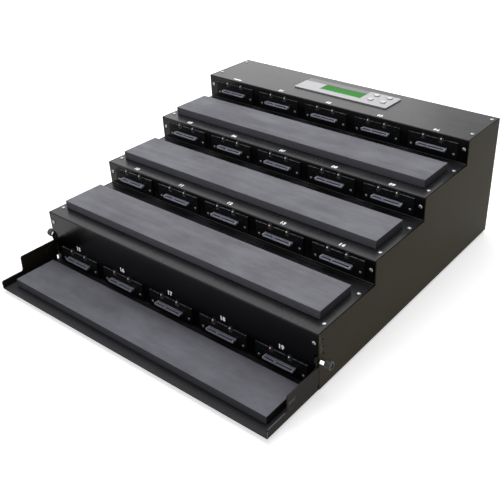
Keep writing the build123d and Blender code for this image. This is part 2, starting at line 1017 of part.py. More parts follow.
# Pivot nuts: welded inside the ears, where the thumb screws thread in
def make_pivot_nuts():
    with BuildPart() as nuts:
        for side in (-1, 1):
            with BuildSketch(side_plane(side * nut_face)):
                with Locations((pivot_y, pivot_z)):
                    RegularPolygon(nut_radius, 6)
                    Circle(pivot_radius + pivot_clearance, mode=Mode.SUBTRACT)
            extrude(amount=side * nut_thickness)
    return nuts


write(make_pivot_nuts(), "pivot_nuts")


# Thumb screws: a bright shank through panel, ear and nut, and a ribbed knob
def make_pivot_shank(side):
    collar = side_x + collar_gap
    outer = side_x + knob_standoff
    with BuildPart() as shank:
        with BuildSketch(side_plane(side * nut_face)):
            with Locations((pivot_y, pivot_z)):
                Circle(pivot_radius)
        extrude(amount=side * (collar - nut_face))
        with BuildSketch(side_plane(side * collar)):
            with Locations((pivot_y, pivot_z)):
                RegularPolygon(collar_radius, 6)
        extrude(amount=side * (outer - collar))
        chamfer(shank.edges().group_by(Axis.X)[-1 if side > 0 else 0], collar_chamfer)
        with BuildSketch(side_plane(side * outer)):
            with Locations((pivot_y, pivot_z)):
                Circle(shank_tang_radius)
        extrude(amount=side * shank_tang)
    return shank


def make_knob(side):
    start = side_x + knob_standoff
    with BuildPart() as knob:
        with BuildSketch(side_plane(side * start)):
            with Locations((pivot_y, pivot_z)):
                Circle(knob_radius)
                with PolarLocations(knob_radius, knob_ribs):
                    Rectangle(2 * rib_depth, rib_width, mode=Mode.SUBTRACT)
        extrude(amount=side * knob_length)
        with BuildSketch(side_plane(side * start)):
            with Locations((pivot_y, pivot_z)):
                Circle(shank_tang_radius + pivot_clearance)
        extrude(amount=side * (shank_tang + pivot_clearance), mode=Mode.SUBTRACT)
        with BuildSketch(side_plane(side * (start + knob_length))):
            with Locations((pivot_y, pivot_z)):
                Circle(knob_recess_radius)
        extrude(amount=-side * knob_recess_depth, mode=Mode.SUBTRACT)
    return knob


for side, name in ((-1, "left"), (1, "right")):
    write(make_pivot_shank(side), f"pivot_shank_{name}")
    write(make_knob(side), f"knob_{name}")


# Power supply: a box behind the back panel's opening, with its loaded board
supply_back = back_y - sheet
supply_front = supply_back - supply_depth
supply_mid_z = floor_z + supply_height / 2


def make_supply_case():
    with BuildPart() as case:
        with BuildSketch(Plane.XY.offset(floor_z)):
            with Locations((supply_x, (supply_front + supply_back) / 2)):
                Rectangle(supply_width, supply_depth)
        extrude(amount=supply_height)
        with BuildSketch(Plane.XY.offset(floor_z + supply_wall)):
            with Locations((supply_x, (supply_front + supply_back) / 2)):
                Rectangle(supply_width - 2 * supply_wall, supply_depth - 2 * supply_wall)
        extrude(amount=supply_height - 2 * supply_wall, mode=Mode.SUBTRACT)
        with BuildSketch(front_plane(supply_back)):
            with Locations((supply_x + inlet_x, supply_mid_z)):
                Rectangle(inlet_width - 2 * inlet_lip, inlet_height - 2 * inlet_lip)
            with Locations((supply_x + switch_x, supply_mid_z)):
                Rectangle(switch_width + 2 * switch_lip, switch_opening + 2 * switch_lip)
        extrude(amount=2 * supply_wall, mode=Mode.SUBTRACT)
    return case


def make_supply_board():
    base = floor_z + supply_wall + supply_board_lift
    width = supply_width - 2 * supply_board_margin
    depth = supply_depth - inlet_depth - 2 * supply_board_margin
    middle = supply_front + supply_board_margin + depth / 2
    with BuildPart() as board:
        with BuildSketch(Plane.XY.offset(base)):
            with Locations((supply_x, middle)):
                Rectangle(width, depth)
        extrude(amount=board_thickness)
        with BuildSketch(Plane.XY.offset(base + board_thickness)):
            with Locations((supply_x, middle)):
                Rectangle(width / 2, depth / 3)
            with Locations((supply_x, middle + depth / 3)):
                with GridLocations(width / 2, 0, 2, 1):
                    Circle(width / 8)
        extrude(amount=supply_part_height)
        with BuildSketch(Plane.XY.offset(base)):
            with Locations((supply_x, middle)):
                with GridLocations(width - 4 * boss_radius, depth - 4 * boss_radius, 2, 2):
                    Circle(boss_radius)
        extrude(amount=-supply_board_lift)
    return board


def make_power_inlet():
    centre = (supply_x + inlet_x, supply_mid_z)
    face = supply_back + inlet_lip
    body_width = inlet_width - 2 * (inlet_lip + window_gap)
    body_height = inlet_height - 2 * (inlet_lip + window_gap)
    with BuildPart() as inlet:
        with BuildSketch(front_plane(face)):
            with Locations(centre):
                Rectangle(inlet_width, inlet_height)
        extrude(amount=inlet_lip)
        with BuildSketch(front_plane(supply_back)):
            with Locations(centre):
                Rectangle(body_width, body_height)
        extrude(amount=inlet_depth)
        with BuildSketch(front_plane(face)):
            with Locations(centre):
                Rectangle(inlet_cavity_width, inlet_cavity_height)
            chamfer(vertices().group_by(Axis.Y)[-1], inlet_corner)
        extrude(amount=inlet_cavity_depth, mode=Mode.SUBTRACT)
        with BuildSketch(front_plane(face - inlet_cavity_depth)):
            with Locations(centre):
                with Locations((0, pin_raise), (-pin_spread, -pin_raise), (pin_spread, -pin_raise)):
                    Rectangle(pin_width, pin_height)
        extrude(amount=-pin_length)
    return inlet


# Mains switch: a frame in the supply's rear wall and a rocker on a cross axle
axle_y = supply_back - axle_drop


def make_switch_frame():
    centre = (supply_x + switch_x, supply_mid_z)
    lip_width = switch_width + 4 * switch_lip
    lip_height = switch_opening + 4 * switch_lip
    body_width = switch_width + 2 * (switch_lip - window_gap)
    body_height = switch_opening + 2 * (switch_lip - window_gap)
    with BuildPart() as frame:
        with BuildSketch(front_plane(supply_back)):
            with Locations(centre):
                Rectangle(lip_width, lip_height)
        extrude(amount=-sheet)
        with BuildSketch(front_plane(supply_back)):
            with Locations(centre):
                Rectangle(body_width, body_height)
        extrude(amount=switch_depth)
        with BuildSketch(front_plane(supply_back + sheet)):
            with Locations(centre):
                Rectangle(switch_width, switch_opening)
        extrude(amount=sheet + switch_depth - switch_lip, mode=Mode.SUBTRACT)
        with BuildSketch(side_plane(centre[0])):
            with Locations((axle_y, supply_mid_z)):
                Circle(axle_radius + axle_clearance)
        extrude(amount=switch_width / 2 + switch_lip / 2, both=True, mode=Mode.SUBTRACT)
    return frame


def make_rocker():
    """The rocker, tipped to its off side about its axle."""
    half_width = switch_width / 2 - rocker_gap
    half = switch_opening / 2 - 2 * rocker_gap
    tilt = radians(rocker_tilt)
    tipped = Plane(
        origin=(supply_x + switch_x, axle_y, supply_mid_z),
        x_dir=(0, cos(tilt), sin(tilt)),
        z_dir=(1, 0, 0),
    )
    with BuildPart() as rocker:
        with BuildSketch(tipped):
            with BuildLine():
                Polyline(
                    (axle_drop - rocker_reach, -half / 3),
                    (axle_drop, -half),
                    (axle_drop + rocker_proud, -half),
                    (axle_drop + rocker_dip, 0),
                    (axle_drop + rocker_proud, half),
                    (axle_drop, half),
                    (axle_drop - rocker_reach, half / 3),
                    close=True,
                )
            make_face()
        extrude(amount=half_width, both=True)
        with BuildSketch(tipped):
            Circle(axle_radius)
        extrude(amount=switch_width / 2 + switch_lip / 3, both=True)
    return rocker


write(make_supply_case(), "supply_case")
write(make_supply_board(), "supply_board")
write(make_power_inlet(), "power_inlet")
write(make_switch_frame(), "switch_frame")
write(make_rocker(), "switch_rocker")


# Rear fans
fan_back = back_y - sheet
fan_front = fan_back - fan_depth


def make_fan_frames():
    with BuildPart() as frames:
        for spot in fan_spots():
            with BuildSketch(front_plane(fan_back)):
                with Locations(spot):
                    Rectangle(fan_side, fan_side)
                    Circle(fan_bore_radius, mode=Mode.SUBTRACT)
                    with GridLocations(fan_hole_spacing, fan_hole_spacing, 2, 2):
                        Circle(fan_hole_radius, mode=Mode.SUBTRACT)
            extrude(amount=fan_depth)
            with BuildSketch(front_plane(fan_front + fan_base)):
                with Locations(spot):
                    Circle(fan_base_radius)
                    Rectangle(2 * fan_bore_radius + fan_strut / 2, fan_strut)
                    Rectangle(fan_strut, 2 * fan_bore_radius + fan_strut / 2)
                    Circle(shaft_radius + shaft_clearance, mode=Mode.SUBTRACT)
            extrude(amount=fan_base)
    return frames


def make_fan_rotor(spot):
    x, z = spot
    hub_front = fan_front + fan_base + rotor_gap
    middle = hub_front + rotor_hub_length / 2
    blade_length = rotor_radius - rotor_hub_radius + blade_thickness
    with BuildPart(Plane(origin=(x, middle, z), x_dir=(1, 0, 0), z_dir=(0, -1, 0))) as rotor:
        Cylinder(rotor_hub_radius, rotor_hub_length)
        with PolarLocations(rotor_radius - blade_length / 2, rotor_blades):
            Box(blade_length, blade_chord, blade_thickness, rotation=(blade_angle, 0, 0))
        with Locations((0, 0, rotor_hub_length / 2)):
            Cylinder(shaft_radius, rotor_gap + fan_base, align=(Align.CENTER, Align.CENTER, Align.MIN))
    return rotor


def make_fan_guards():
    with BuildPart() as guards:
        with BuildSketch(front_plane(back_y)):
            with Locations(*fan_spots()):
                for ring in range(guard_ring_count):
                    radius = guard_ring_radius - guard_ring_spacing * ring
                    Circle(radius + guard_wire / 2)
                    Circle(radius - guard_wire / 2, mode=Mode.SUBTRACT)
                Circle(guard_hub_radius)
                for angle in (45, 135):
                    Rectangle(fan_hole_spacing * 2**0.5, guard_wire, rotation=angle)
                with GridLocations(fan_hole_spacing, fan_hole_spacing, 2, 2):
                    Circle(guard_tab_radius)
                    Circle(fan_hole_radius, mode=Mode.SUBTRACT)
        extrude(amount=-guard_thickness)
    return guards


def make_fan_screws():
    behind = Plane(origin=(0, back_y + guard_thickness, 0), x_dir=(-1, 0, 0), z_dir=(0, 1, 0))
    half = fan_hole_spacing / 2
    points = [(-x + i * half, z + j * half) for x, z in fan_spots() for i in (-1, 1) for j in (-1, 1)]
    sizes = (fan_screw_radius, fan_screw_head_radius, fan_screw_head, fan_screw_length)
    with BuildPart() as screws:
        add_screws(behind, points, *sizes)
    return screws


write(make_fan_frames(), "fan_frames")
for spot, name in zip(fan_spots(), ("left", "right")):
    write(make_fan_rotor(spot), f"fan_rotor_{name}")
write(make_fan_guards(), "fan_guards")
write(make_fan_screws(), "fan_screws")


# Controller board on its stand-offs, with a finned heat sink on the processor
controller_y = panel_y + controller_setback + controller_depth / 2
controller_z = floor_z + controller_lift
controller_top = controller_z + board_thickness


def ribbon_x(row):
    return controller_x - ribbon_spacing * (port_rows - 1) / 2 + ribbon_spacing * row


def ribbon_start(row):
    """Y of the header that feeds one row: the front two rows use the front edge."""
    edge = controller_depth / 2 - header_block_depth
    return controller_y - edge if row < port_rows / 2 else controller_y + edge


def make_controller_board():
    with BuildPart() as board:
        with BuildSketch(Plane.XY.offset(controller_z)):
            with Locations((controller_x, controller_y)):
                Rectangle(controller_width, controller_depth)
        extrude(amount=board_thickness)
        with BuildSketch(Plane.XY.offset(controller_top)):
            with Locations(*[(ribbon_x(row), ribbon_start(row)) for row in range(port_rows)]):
                Rectangle(header_block_width, header_block_depth)
        extrude(amount=header_block_height)
        with BuildSketch(Plane.XY.offset(controller_top)):
            with Locations((controller_x, controller_y)):
                Rectangle(chip_side, chip_side)
        extrude(amount=chip_height)
    return board


def make_heat_sink():
    base = controller_top + chip_height
    with BuildPart() as sink:
        with BuildSketch(Plane.XY.offset(base)):
            with Locations((controller_x, controller_y)):
                Rectangle(sink_side, sink_side)
        extrude(amount=sink_base)
        with BuildSketch(Plane.XY.offset(base + sink_base)):
            with Locations((controller_x, controller_y)):
                with GridLocations((sink_side - sink_fin) / (sink_fins - 1), 0, sink_fins, 1):
                    Rectangle(sink_fin, sink_side)
        extrude(amount=sink_height - sink_base)
    return sink


def make_board_standoffs():
    spread_x = controller_width - 2 * controller_hole_inset
    spread_y = controller_depth - 2 * controller_hole_inset
    with BuildPart() as standoffs:
        with BuildSketch(Plane.XY.offset(floor_z)):
            with Locations((controller_x, controller_y)):
                with GridLocations(spread_x, spread_y, 2, 2):
                    RegularPolygon(standoff_radius, 6)
        extrude(amount=controller_lift)
    return standoffs


# Wiring: a flat data cable and a round power lead to each backplane
lead_room = supply_front - riser_y[-2] - backplane_gap - board_thickness
lead_bend = lead_bend_share * lead_room
lead_run = lead_run_share * lead_room
loop_y = riser_y[-1] + backplane_gap + board_thickness + lead_run


def ribbon_route(row):
    """Y and Z corners of one flat cable, from its header to its backplane."""
    rise = levels[row] + cable_height
    end = riser_y[row] + backplane_gap + board_thickness
    start = (ribbon_start(row), controller_top + header_block_height)
    if row < port_rows - 1:
        return [start, (start[0], rise), (end, rise)]
    across = start[1] + header_block_height + sink_height
    return [start, (start[0], across), (loop_y, across), (loop_y, rise), (end, rise)]


def ribbon_section(row):
    """One flat cable seen from its edge: straight runs with square corners."""
    half = ribbon_thickness / 2
    route = ribbon_route(row)
    with BuildSketch(side_plane(ribbon_x(row) - ribbon_width / 2)) as section:
        for number, ((y1, z1), (y2, z2)) in enumerate(zip(route, route[1:])):
            y_low = y2 if number == len(route) - 2 else min(y1, y2) - half
            z_low = z1 if number == 0 else min(z1, z2) - half
            y_high = max(y1, y2) + half
            z_high = max(z1, z2) + half
            with Locations(((y_low + y_high) / 2, (z_low + z_high) / 2)):
                Rectangle(y_high - y_low, z_high - z_low)
    return section.sketch


def make_data_cables():
    with BuildPart() as cables:
        for row in range(port_rows):
            extrude(ribbon_section(row), amount=ribbon_width)
    return cables


def lead_route(row):
    """The corners of one power lead, from the supply's front wall to its backplane."""
    x = supply_x + lead_spacing * (row - (port_rows - 1) / 2)
    z = supply_mid_z
    near = supply_front - lead_run
    end_y = riser_y[row] + backplane_gap + board_thickness
    end_z = levels[row] + cable_height
    start = (x, supply_front, z)
    if row == 0:
        return [start, (x, near, z), (x, end_y, z)]
    if row < port_rows - 1:
        return [start, (x, near, z), (x, near, end_z), (x, end_y, end_z)]
    across = case_z + loop_height
    loop = [(x, near, z), (x, near, across), (x, loop_y, across), (x, loop_y, end_z)]
    return [start, *loop, (x, end_y, end_z)]


def lead_path(row):
    with BuildLine() as path:
        if row == 0:
            Polyline(*lead_route(row))
        else:
            FilletPolyline(*lead_route(row), radius=lead_bend)
    return path.line


def make_power_leads():
    with BuildPart() as leads:
        for row in range(port_rows):
            start = Plane(origin=lead_route(row)[0], z_dir=(0, -1, 0))
            sweep(discs(start, [(0, 0)], lead_radius), path=lead_path(row))
    return leads


write(make_controller_board(), "controller_board")
write(make_heat_sink(), "heat_sink")
write(make_board_standoffs(), "board_standoffs")
write(make_data_cables(), "data_cables")
write(make_power_leads(), "power_leads")
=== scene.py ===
"""Finishes, small parts, print, light and camera for the flat-bed drive duplicator."""

import logging
import math
from collections import defaultdict
from collections.abc import Callable, Sequence
from dataclasses import dataclass
from enum import Enum

import bmesh
import bpy
from mathutils import Matrix, Vector, noise


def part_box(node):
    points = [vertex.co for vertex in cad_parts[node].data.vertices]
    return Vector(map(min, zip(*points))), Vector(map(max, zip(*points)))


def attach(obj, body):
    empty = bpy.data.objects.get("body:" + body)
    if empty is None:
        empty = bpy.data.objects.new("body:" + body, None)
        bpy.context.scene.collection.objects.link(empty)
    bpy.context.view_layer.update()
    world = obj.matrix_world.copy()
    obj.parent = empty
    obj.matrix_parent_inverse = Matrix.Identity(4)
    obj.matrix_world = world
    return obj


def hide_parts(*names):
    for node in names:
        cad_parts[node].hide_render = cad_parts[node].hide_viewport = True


LOG = logging.getLogger("duplicator")
MM = 0.001
FLUTE_POWER = 0.6
RIM_SHARE = 0.97
CORNER_DIGITS = 6
PLACE_DIGITS = 4
UP = Vector((0, 0, 1))
FRONT = Vector((0, -1, 0))
Colour = tuple[float, float, float]
Points = Sequence[tuple[Vector, Vector]]

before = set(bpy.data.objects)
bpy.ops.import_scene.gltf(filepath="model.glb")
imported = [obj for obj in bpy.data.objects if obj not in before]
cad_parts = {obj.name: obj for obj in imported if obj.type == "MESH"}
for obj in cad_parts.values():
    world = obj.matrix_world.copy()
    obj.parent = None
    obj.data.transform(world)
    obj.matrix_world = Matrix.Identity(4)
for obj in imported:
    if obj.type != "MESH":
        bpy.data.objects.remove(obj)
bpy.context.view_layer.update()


class Body(str, Enum):
    """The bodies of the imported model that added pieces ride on."""

    CASE = "case"
    TRAY = "tray"
    SCREW_LEFT = "thumb_screw_left"
    SCREW_RIGHT = "thumb_screw_right"


# Node trees


def operator(operation: str, swapped: bool = False) -> Callable[["Value", "Value | float"], "Value"]:
    """Make a method of Value that adds one Math node.

    Args:
        operation: the Math node's operation.
        swapped: whether the value itself comes second.

    Returns:
        The method.
    """

    def method(value: "Value", other: "Value | float") -> "Value":
        """Combine the value with another one or with a number."""
        return value.graph.math(operation, *((other, value) if swapped else (value, other)))

    return method


class Value:
    """A node's output that takes part in ordinary arithmetic."""

    __add__ = __radd__ = operator("ADD")
    __sub__ = operator("SUBTRACT")
    __rsub__ = operator("SUBTRACT", swapped=True)
    __mul__ = __rmul__ = operator("MULTIPLY")
    __truediv__ = operator("DIVIDE")
    least = operator("MINIMUM")
    most = operator("MAXIMUM")

    def __init__(self, graph: "Graph", socket: bpy.types.NodeSocket) -> None:
        """Wrap one output socket of a node tree."""
        self.graph = graph
        self.socket = socket

    def size(self) -> "Value":
        """The value without its sign."""
        return self.graph.math("ABSOLUTE", self)

    def step(self, low: float, high: float) -> "Value":
        """A smooth change from 0 at low to 1 at high, or the other way where low is larger.

        Args:
            low: the value that gives 0.
            high: the value that gives 1.

        Returns:
            The blended mask.
        """
        start, end, outputs = (low, high, (0.0, 1.0)) if low < high else (high, low, (1.0, 0.0))
        span = {"From Min": start, "From Max": end, "To Min": outputs[0], "To Max": outputs[1]}
        return self.graph.value(
            "ShaderNodeMapRange", {"interpolation_type": "SMOOTHSTEP"}, {"Value": self, **span}
        )


class Graph:
    """A node tree whose outputs take part in ordinary arithmetic."""

    def __init__(self, tree: bpy.types.NodeTree) -> None:
        """Start from an empty tree."""
        self.tree = tree
        self.tree.nodes.clear()

    def node(
        self, kind: str, settings: dict | None = None, inputs: dict | None = None
    ) -> bpy.types.Node:
        """Add a node, make its settings, then fill or link its sockets.

        Args:
            kind: the node's type name.
            settings: attribute values of the node.
            inputs: socket names or numbers and their values or links.

        Returns:
            The new node.
        """
        node = self.tree.nodes.new(kind)
        for name, setting in (settings or {}).items():
            setattr(node, name, setting)
        for name, content in (inputs or {}).items():
            socket = node.inputs[name]
            if isinstance(content, Value):
                self.tree.links.new(content.socket, socket)
            elif isinstance(content, tuple) and len(content) == 3 and socket.type == "RGBA":
                socket.default_value = (*content, 1.0)
            else:
                socket.default_value = content
        return node

    def value(
        self, kind: str, settings: dict | None = None, inputs: dict | None = None, output: int | str = 0
    ) -> Value:
        """Add a node and return one of its outputs as a Value."""
        return Value(self, self.node(kind, settings, inputs).outputs[output])

    def math(self, operation: str, *terms: "Value | float") -> Value:
        """Add one Math node."""
        return self.value("ShaderNodeMath", {"operation": operation}, dict(enumerate(terms)))

    def looking(self) -> Value:
        """1 for rays from the camera, off a gloss or through glass, and 0 for the rest."""
        path = self.node("ShaderNodeLightPath")
        kinds = ("Camera", "Glossy", "Transmission")
        camera, gloss, glass = (Value(self, path.outputs[f"Is {kind} Ray"]) for kind in kinds)
        return camera.most(gloss).most(glass)


class Shader(Graph):
    """One procedural material under construction."""

    def __init__(self, name: str) -> None:
        """Start an empty material of this name."""
        self.material = bpy.data.materials.new(name)
        self.material.use_nodes = True
        super().__init__(self.material.node_tree)
        self.output = self.tree.nodes.new("ShaderNodeOutputMaterial")

    def place(self) -> Value:
        """The point on the surface in the part's own frame, in metres."""
        return self.value("ShaderNodeTexCoord", output="Object")

    def axes(self, vector: Value) -> tuple[Value, Value, Value]:
        """The three parts of a vector."""
        split = self.node("ShaderNodeSeparateXYZ", inputs={"Vector": vector})
        return tuple(Value(self, split.outputs[axis]) for axis in range(3))

    def facing(self) -> tuple[Value, Value, Value]:
        """The three parts of the surface's direction."""
        return self.axes(self.value("ShaderNodeNewGeometry", output="Normal"))

    def stretched(self, stretch: Sequence[float], shift: Sequence[float] = (0, 0, 0)) -> Value:
        """The surface point with each axis scaled, to draw a pattern out along one of them."""
        return self.value(
            "ShaderNodeMapping",
            {"vector_type": "POINT"},
            {"Vector": self.place(), "Scale": tuple(stretch), "Location": tuple(shift)},
        )

    def noise(
        self, size: float, detail: float = 2.0, stretch: Sequence[float] = (1, 1, 1), shift: float = 0
    ) -> Value:
        """Smooth noise between 0 and 1.

        Args:
            size: the width of one blotch in metres.
            detail: how many finer layers are added.
            stretch: scale of each axis before the noise.
            shift: moves the pattern, so that two noises differ.

        Returns:
            The noise.
        """
        return self.value(
            "ShaderNodeTexNoise",
            inputs={
                "Vector": self.stretched(stretch, (shift, shift, shift)),
                "Scale": 1 / size,
                "Detail": detail,
                "Roughness": 0.6,
            },
        )

    def cells(self, size: float, shift: float = 0) -> Value:
        """Distance to the nearest of many scattered points, in cell widths."""
        return self.value(
            "ShaderNodeTexVoronoi",
            inputs={"Vector": self.stretched((1, 1, 1), (shift, 0, 0)), "Scale": 1 / size},
        )

    def mix(self, factor: Value | float, first: "Value | Colour", second: "Value | Colour") -> Value:
        """Blend two colours."""
        return self.value(
            "ShaderNodeMix",
            {"data_type": "RGBA"},
            {0: factor, 6: self._colour(first), 7: self._colour(second)},
            output=2,
        )

    @staticmethod
    def _colour(colour: "Value | Colour") -> "Value | tuple":
        """A colour with its alpha, or the link as it is."""
        return colour if isinstance(colour, Value) else (*colour, 1.0)

    def shade(self, colour: Colour, amount: Value) -> Value:
        """A colour made darker or lighter by a value that is 1 where it stays."""
        return self.value(
            "ShaderNodeVectorMath", {"operation": "SCALE"}, {0: tuple(colour), "Scale": amount}
        )

    def bump(self, height: Value, depth: float, strength: float = 1.0) -> Value:
        """A normal bent by a height from 0 to 1 that stands for a depth in metres."""
        return self.value(
            "ShaderNodeBump", inputs={"Height": height, "Distance": depth, "Strength": strength}
        )

    def line(self, start: Vector, end: Vector, width: float) -> Value:
        """A soft mark between two points on a surface.

        Args:
            start: one end of the mark.
            end: the other end.
            width: the mark's width.

        Returns:
            1 on the mark and 0 away from it.
        """
        along = end - start
        reach = self.value(
            "ShaderNodeVectorMath", {"operation": "SUBTRACT"}, {0: self.place(), 1: tuple(start)}
        )
        product = {"operation": "DOT_PRODUCT"}
        share = self.value("ShaderNodeVectorMath", product, {0: reach, 1: tuple(along)}, output="Value")
        share = (share / along.length_squared).most(0.0).least(1.0)
        nearest = self.value(
            "ShaderNodeVectorMath", {"operation": "SCALE"}, {0: tuple(along), "Scale": share}
        )
        gap = self.value(
            "ShaderNodeVectorMath", {"operation": "DISTANCE"}, {0: reach, 1: nearest}, output="Value"
        )
        return gap.step(width, width * 0.3)

    def finish(self, **sockets: "Value | float | Colour") -> bpy.types.Material:
        """Feed the surface shader and return the material.

        Args:
            sockets: the shader's socket names with underscores for spaces.

        Returns:
            The finished material.
        """
        inputs = {name.replace("_", " "): content for name, content in sockets.items()}
        surface = self.value("ShaderNodeBsdfPrincipled", inputs=inputs)
        self.tree.links.new(surface.socket, self.output.inputs["Surface"])
        return self.material


# Finishes


@dataclass(frozen=True)
class ScuffAndHighlight:
    """A short light mark on a coated sheet, in metres; some are worn marks, some are painted highlights
    along edges.
    """

    start: Vector
    end: Vector
    width: float
    strength: float


@dataclass(frozen=True)
class PowderCoat:
    """Black powder coat on sheet metal: fine orange peel, level faces in a colour of their own under a grey
    dusting that is also a painted sheen, and worn marks and painted highlights.
    """

    name: str
    colour: Colour
    dust_and_sheen_colour: Colour = (0.3, 0.3, 0.3)
    dust_and_sheen: float = 0.1
    roughness: float = 0.26
    specular: float = 0.5
    scuff_and_highlight_colour: Colour = (0.32, 0.32, 0.31)
    level_colour: Colour = (0.0012, 0.0013, 0.002)
    scuffs_and_highlights: tuple[ScuffAndHighlight, ...] = ()
    peel_size: float = 0.9 * MM
    peel_depth: float = 0.03 * MM
    cloud_size: float = 55 * MM
    wipe_size: float = 14 * MM
    speck_size: float = 0.4 * MM

    def material(self) -> bpy.types.Material:
        """Build the coat."""
        shader = Shader(self.name)
        peel = shader.noise(self.peel_size, 3)
        cloud = shader.noise(self.cloud_size, 4)
        wipe = shader.noise(self.wipe_size, 4, (0.25, 1, 1), 2.0)
        speck = shader.noise(self.speck_size, 1, shift=3.1).step(0.66, 0.74)
        level = shader.facing()[2].step(0.3, 0.95)
        film = (cloud * 0.6 + wipe * 0.4).step(0.2, 0.8) * 0.8 + 0.45
        # Level faces get a grey dusting that is also a painted sheen.
        dust_and_sheen = level * film * self.dust_and_sheen + speck * (level * 0.05 + 0.012)
        # Upright faces take colour and level faces take level_colour; where the upright colour is lighter
        # than the black, it is a painted sheen.
        colour = shader.mix(dust_and_sheen, shader.mix(level, self.colour, self.level_colour), self.dust_and_sheen_colour)
        # The lines are worn marks and painted highlights along edges.
        for scuff_and_highlight in self.scuffs_and_highlights:
            mark = shader.line(scuff_and_highlight.start, scuff_and_highlight.end, scuff_and_highlight.width)
            colour = shader.mix(mark * scuff_and_highlight.strength, colour, self.scuff_and_highlight_colour)
        return shader.finish(
            Base_Color=colour,
            Roughness=self.roughness - 0.06 + cloud * 0.08 + level * film * 0.05,
            Specular_IOR_Level=self.specular,
            Normal=shader.bump(peel, self.peel_depth, 0.7),
        )


@dataclass(frozen=True)
class FoamSheet:
    """Dense grey foam: a skinned top with long streaks and cut sides with open cells."""

    name: str
    top: Colour
    side: Colour
    shift: float = 0.0
    end_shade: float = 0.6
    streak_size: float = 16 * MM
    fine_size: float = 2.6 * MM
    blotch_size: float = 42 * MM
    rub_size: float = 9 * MM
    cell_size: float = 0.5 * MM
    large_cell_size: float = 1.3 * MM
    cell_depth: float = 0.12 * MM

    def material(self) -> bpy.types.Material:
        """Build the foam."""
        shader = Shader(self.name)
        across, _, upward = shader.facing()
        up = upward.step(0.35, 0.8)
        streak = shader.noise(self.streak_size, 5, (0.09, 1, 1), self.shift)
        fine = shader.noise(self.fine_size, 4, (0.16, 1, 1), self.shift + 4)
        blotch = shader.noise(self.blotch_size, 4, (0.55, 1, 1), self.shift + 9)
        rub = shader.noise(self.rub_size, 3, (0.4, 1, 1), self.shift + 13).step(0.55, 0.8)
        cell = shader.cells(self.cell_size, self.shift)
        coarse = shader.cells(self.large_cell_size, self.shift + 2)
        skin = 0.38 + streak * 0.66 + fine * 0.24 + blotch.step(0.3, 0.75) * 0.32
        skin = skin + rub * 0.1 - cell * 0.08
        # The cut ends that face along X are painted darker by end_shade: a painted shade.
        cut = (0.8 + coarse * 0.45 - cell * 0.25) * (1 - across.size() * self.end_shade)
        colour = shader.mix(up, shader.shade(self.side, cut), shader.shade(self.top, skin))
        height = cell * 0.5 + coarse * (1 - up) * 0.5
        return shader.finish(
            Base_Color=colour,
            Roughness=0.78 + fine * 0.16,
            Specular_IOR_Level=0.12,
            Normal=shader.bump(height, self.cell_depth, 0.8),
        )


@dataclass(frozen=True)
class Moulded:
    """Moulded plastic or rubber with a fine spark-eroded grain."""

    name: str
    colour: Colour
    roughness: float = 0.45
    grain: float = 0.4
    wear: float = 0.15
    specular: float = 0.5
    glow: float = 0.0

    def material(self) -> bpy.types.Material:
        """Build the plastic."""
        shader = Shader(self.name)
        grain = shader.noise(self.grain * MM, 2)
        cloud = shader.noise(9 * MM, 3, shift=1.7)
        colour = shader.shade(self.colour, 1 - self.wear + cloud * (2 * self.wear))
        return shader.finish(
            Base_Color=colour,
            Roughness=self.roughness - 0.06 + cloud * 0.12,
            Specular_IOR_Level=self.specular,
            Normal=shader.bump(grain, 0.02 * MM, 0.6),
            Emission_Color=colour,
            Emission_Strength=self.glow,
        )


@dataclass(frozen=True)
class Metal:
    """Bare or plated metal with fine lines along one axis."""

    name: str
    colour: Colour
    roughness: float = 0.3
    lines: Sequence[float] = (1, 1, 1)
    line_size: float = 0.3
    depth: float = 0.01
    metallic: float = 1.0
    tarnish: float = 0.12

    def material(self) -> bpy.types.Material:
        """Build the metal."""
        shader = Shader(self.name)
        line = shader.noise(self.line_size * MM, 3, self.lines)
        cloud = shader.noise(12 * MM, 3, shift=2.3)
        level = 1 - self.tarnish + cloud * self.tarnish + line * self.tarnish
        return shader.finish(
            Base_Color=shader.shade(self.colour, level),
            Metallic=self.metallic,
            Roughness=self.roughness - 0.05 + line * 0.1 + cloud * 0.05,
            Normal=shader.bump(line, self.depth * MM, 0.5),
        )


@dataclass(frozen=True)
class BoardMask:
    """A printed circuit board: solder mask over tracks, with a paler cut edge; on an upright board only the
    top edge is paler, the edge's own colour and a painted highlight together.
    """

    name: str
    mask: Colour = (0.004, 0.0045, 0.005)
    track: Colour = (0.0055, 0.0065, 0.0065)
    edge: Colour = (0.19, 0.19, 0.2)
    level: bool = False
    track_pitch: float = 1.27 * MM
    island_size: float = 3.4 * MM
    wear_size: float = 5 * MM
    relief: float = 0.03 * MM

    def material(self) -> bpy.types.Material:
        """Build the board: an upright one shows its edge on top, a level one at its sides."""
        shader = Shader(self.name)
        _, _, up = shader.facing()
        _, y, z = shader.axes(shader.place())
        weave = shader.noise(0.6 * MM, 2)
        wear = shader.noise(self.wear_size, 3, (1, 1, 1), 4.4)
        islands = shader.value(
            "ShaderNodeTexVoronoi",
            {"distance": "CHEBYCHEV"},
            {"Vector": shader.place(), "Scale": 1 / self.island_size},
        )
        bus = shader.math("FRACT", (y if self.level else z) * (1 / self.track_pitch))
        tracks = (bus - 0.5).size().step(0.18, 0.12) * islands.step(0.34, 0.4)
        # On upright boards only the up-facing cut edge is paler: its own colour and a painted highlight
        # together.
        rim = up.size().step(0.5, 0.3) if self.level else up.step(0.5, 0.8)
        face = shader.mix(tracks, self.mask, self.track)
        edge = shader.shade(self.edge, 0.35 + wear.step(0.35, 0.62))
        return shader.finish(
            Base_Color=shader.mix(rim, face, edge),
            Roughness=0.42 + rim * 0.3 + weave * 0.1,
            Specular_IOR_Level=0.08,
            Normal=shader.bump(tracks + weave * 0.2, self.relief, 0.6),
        )


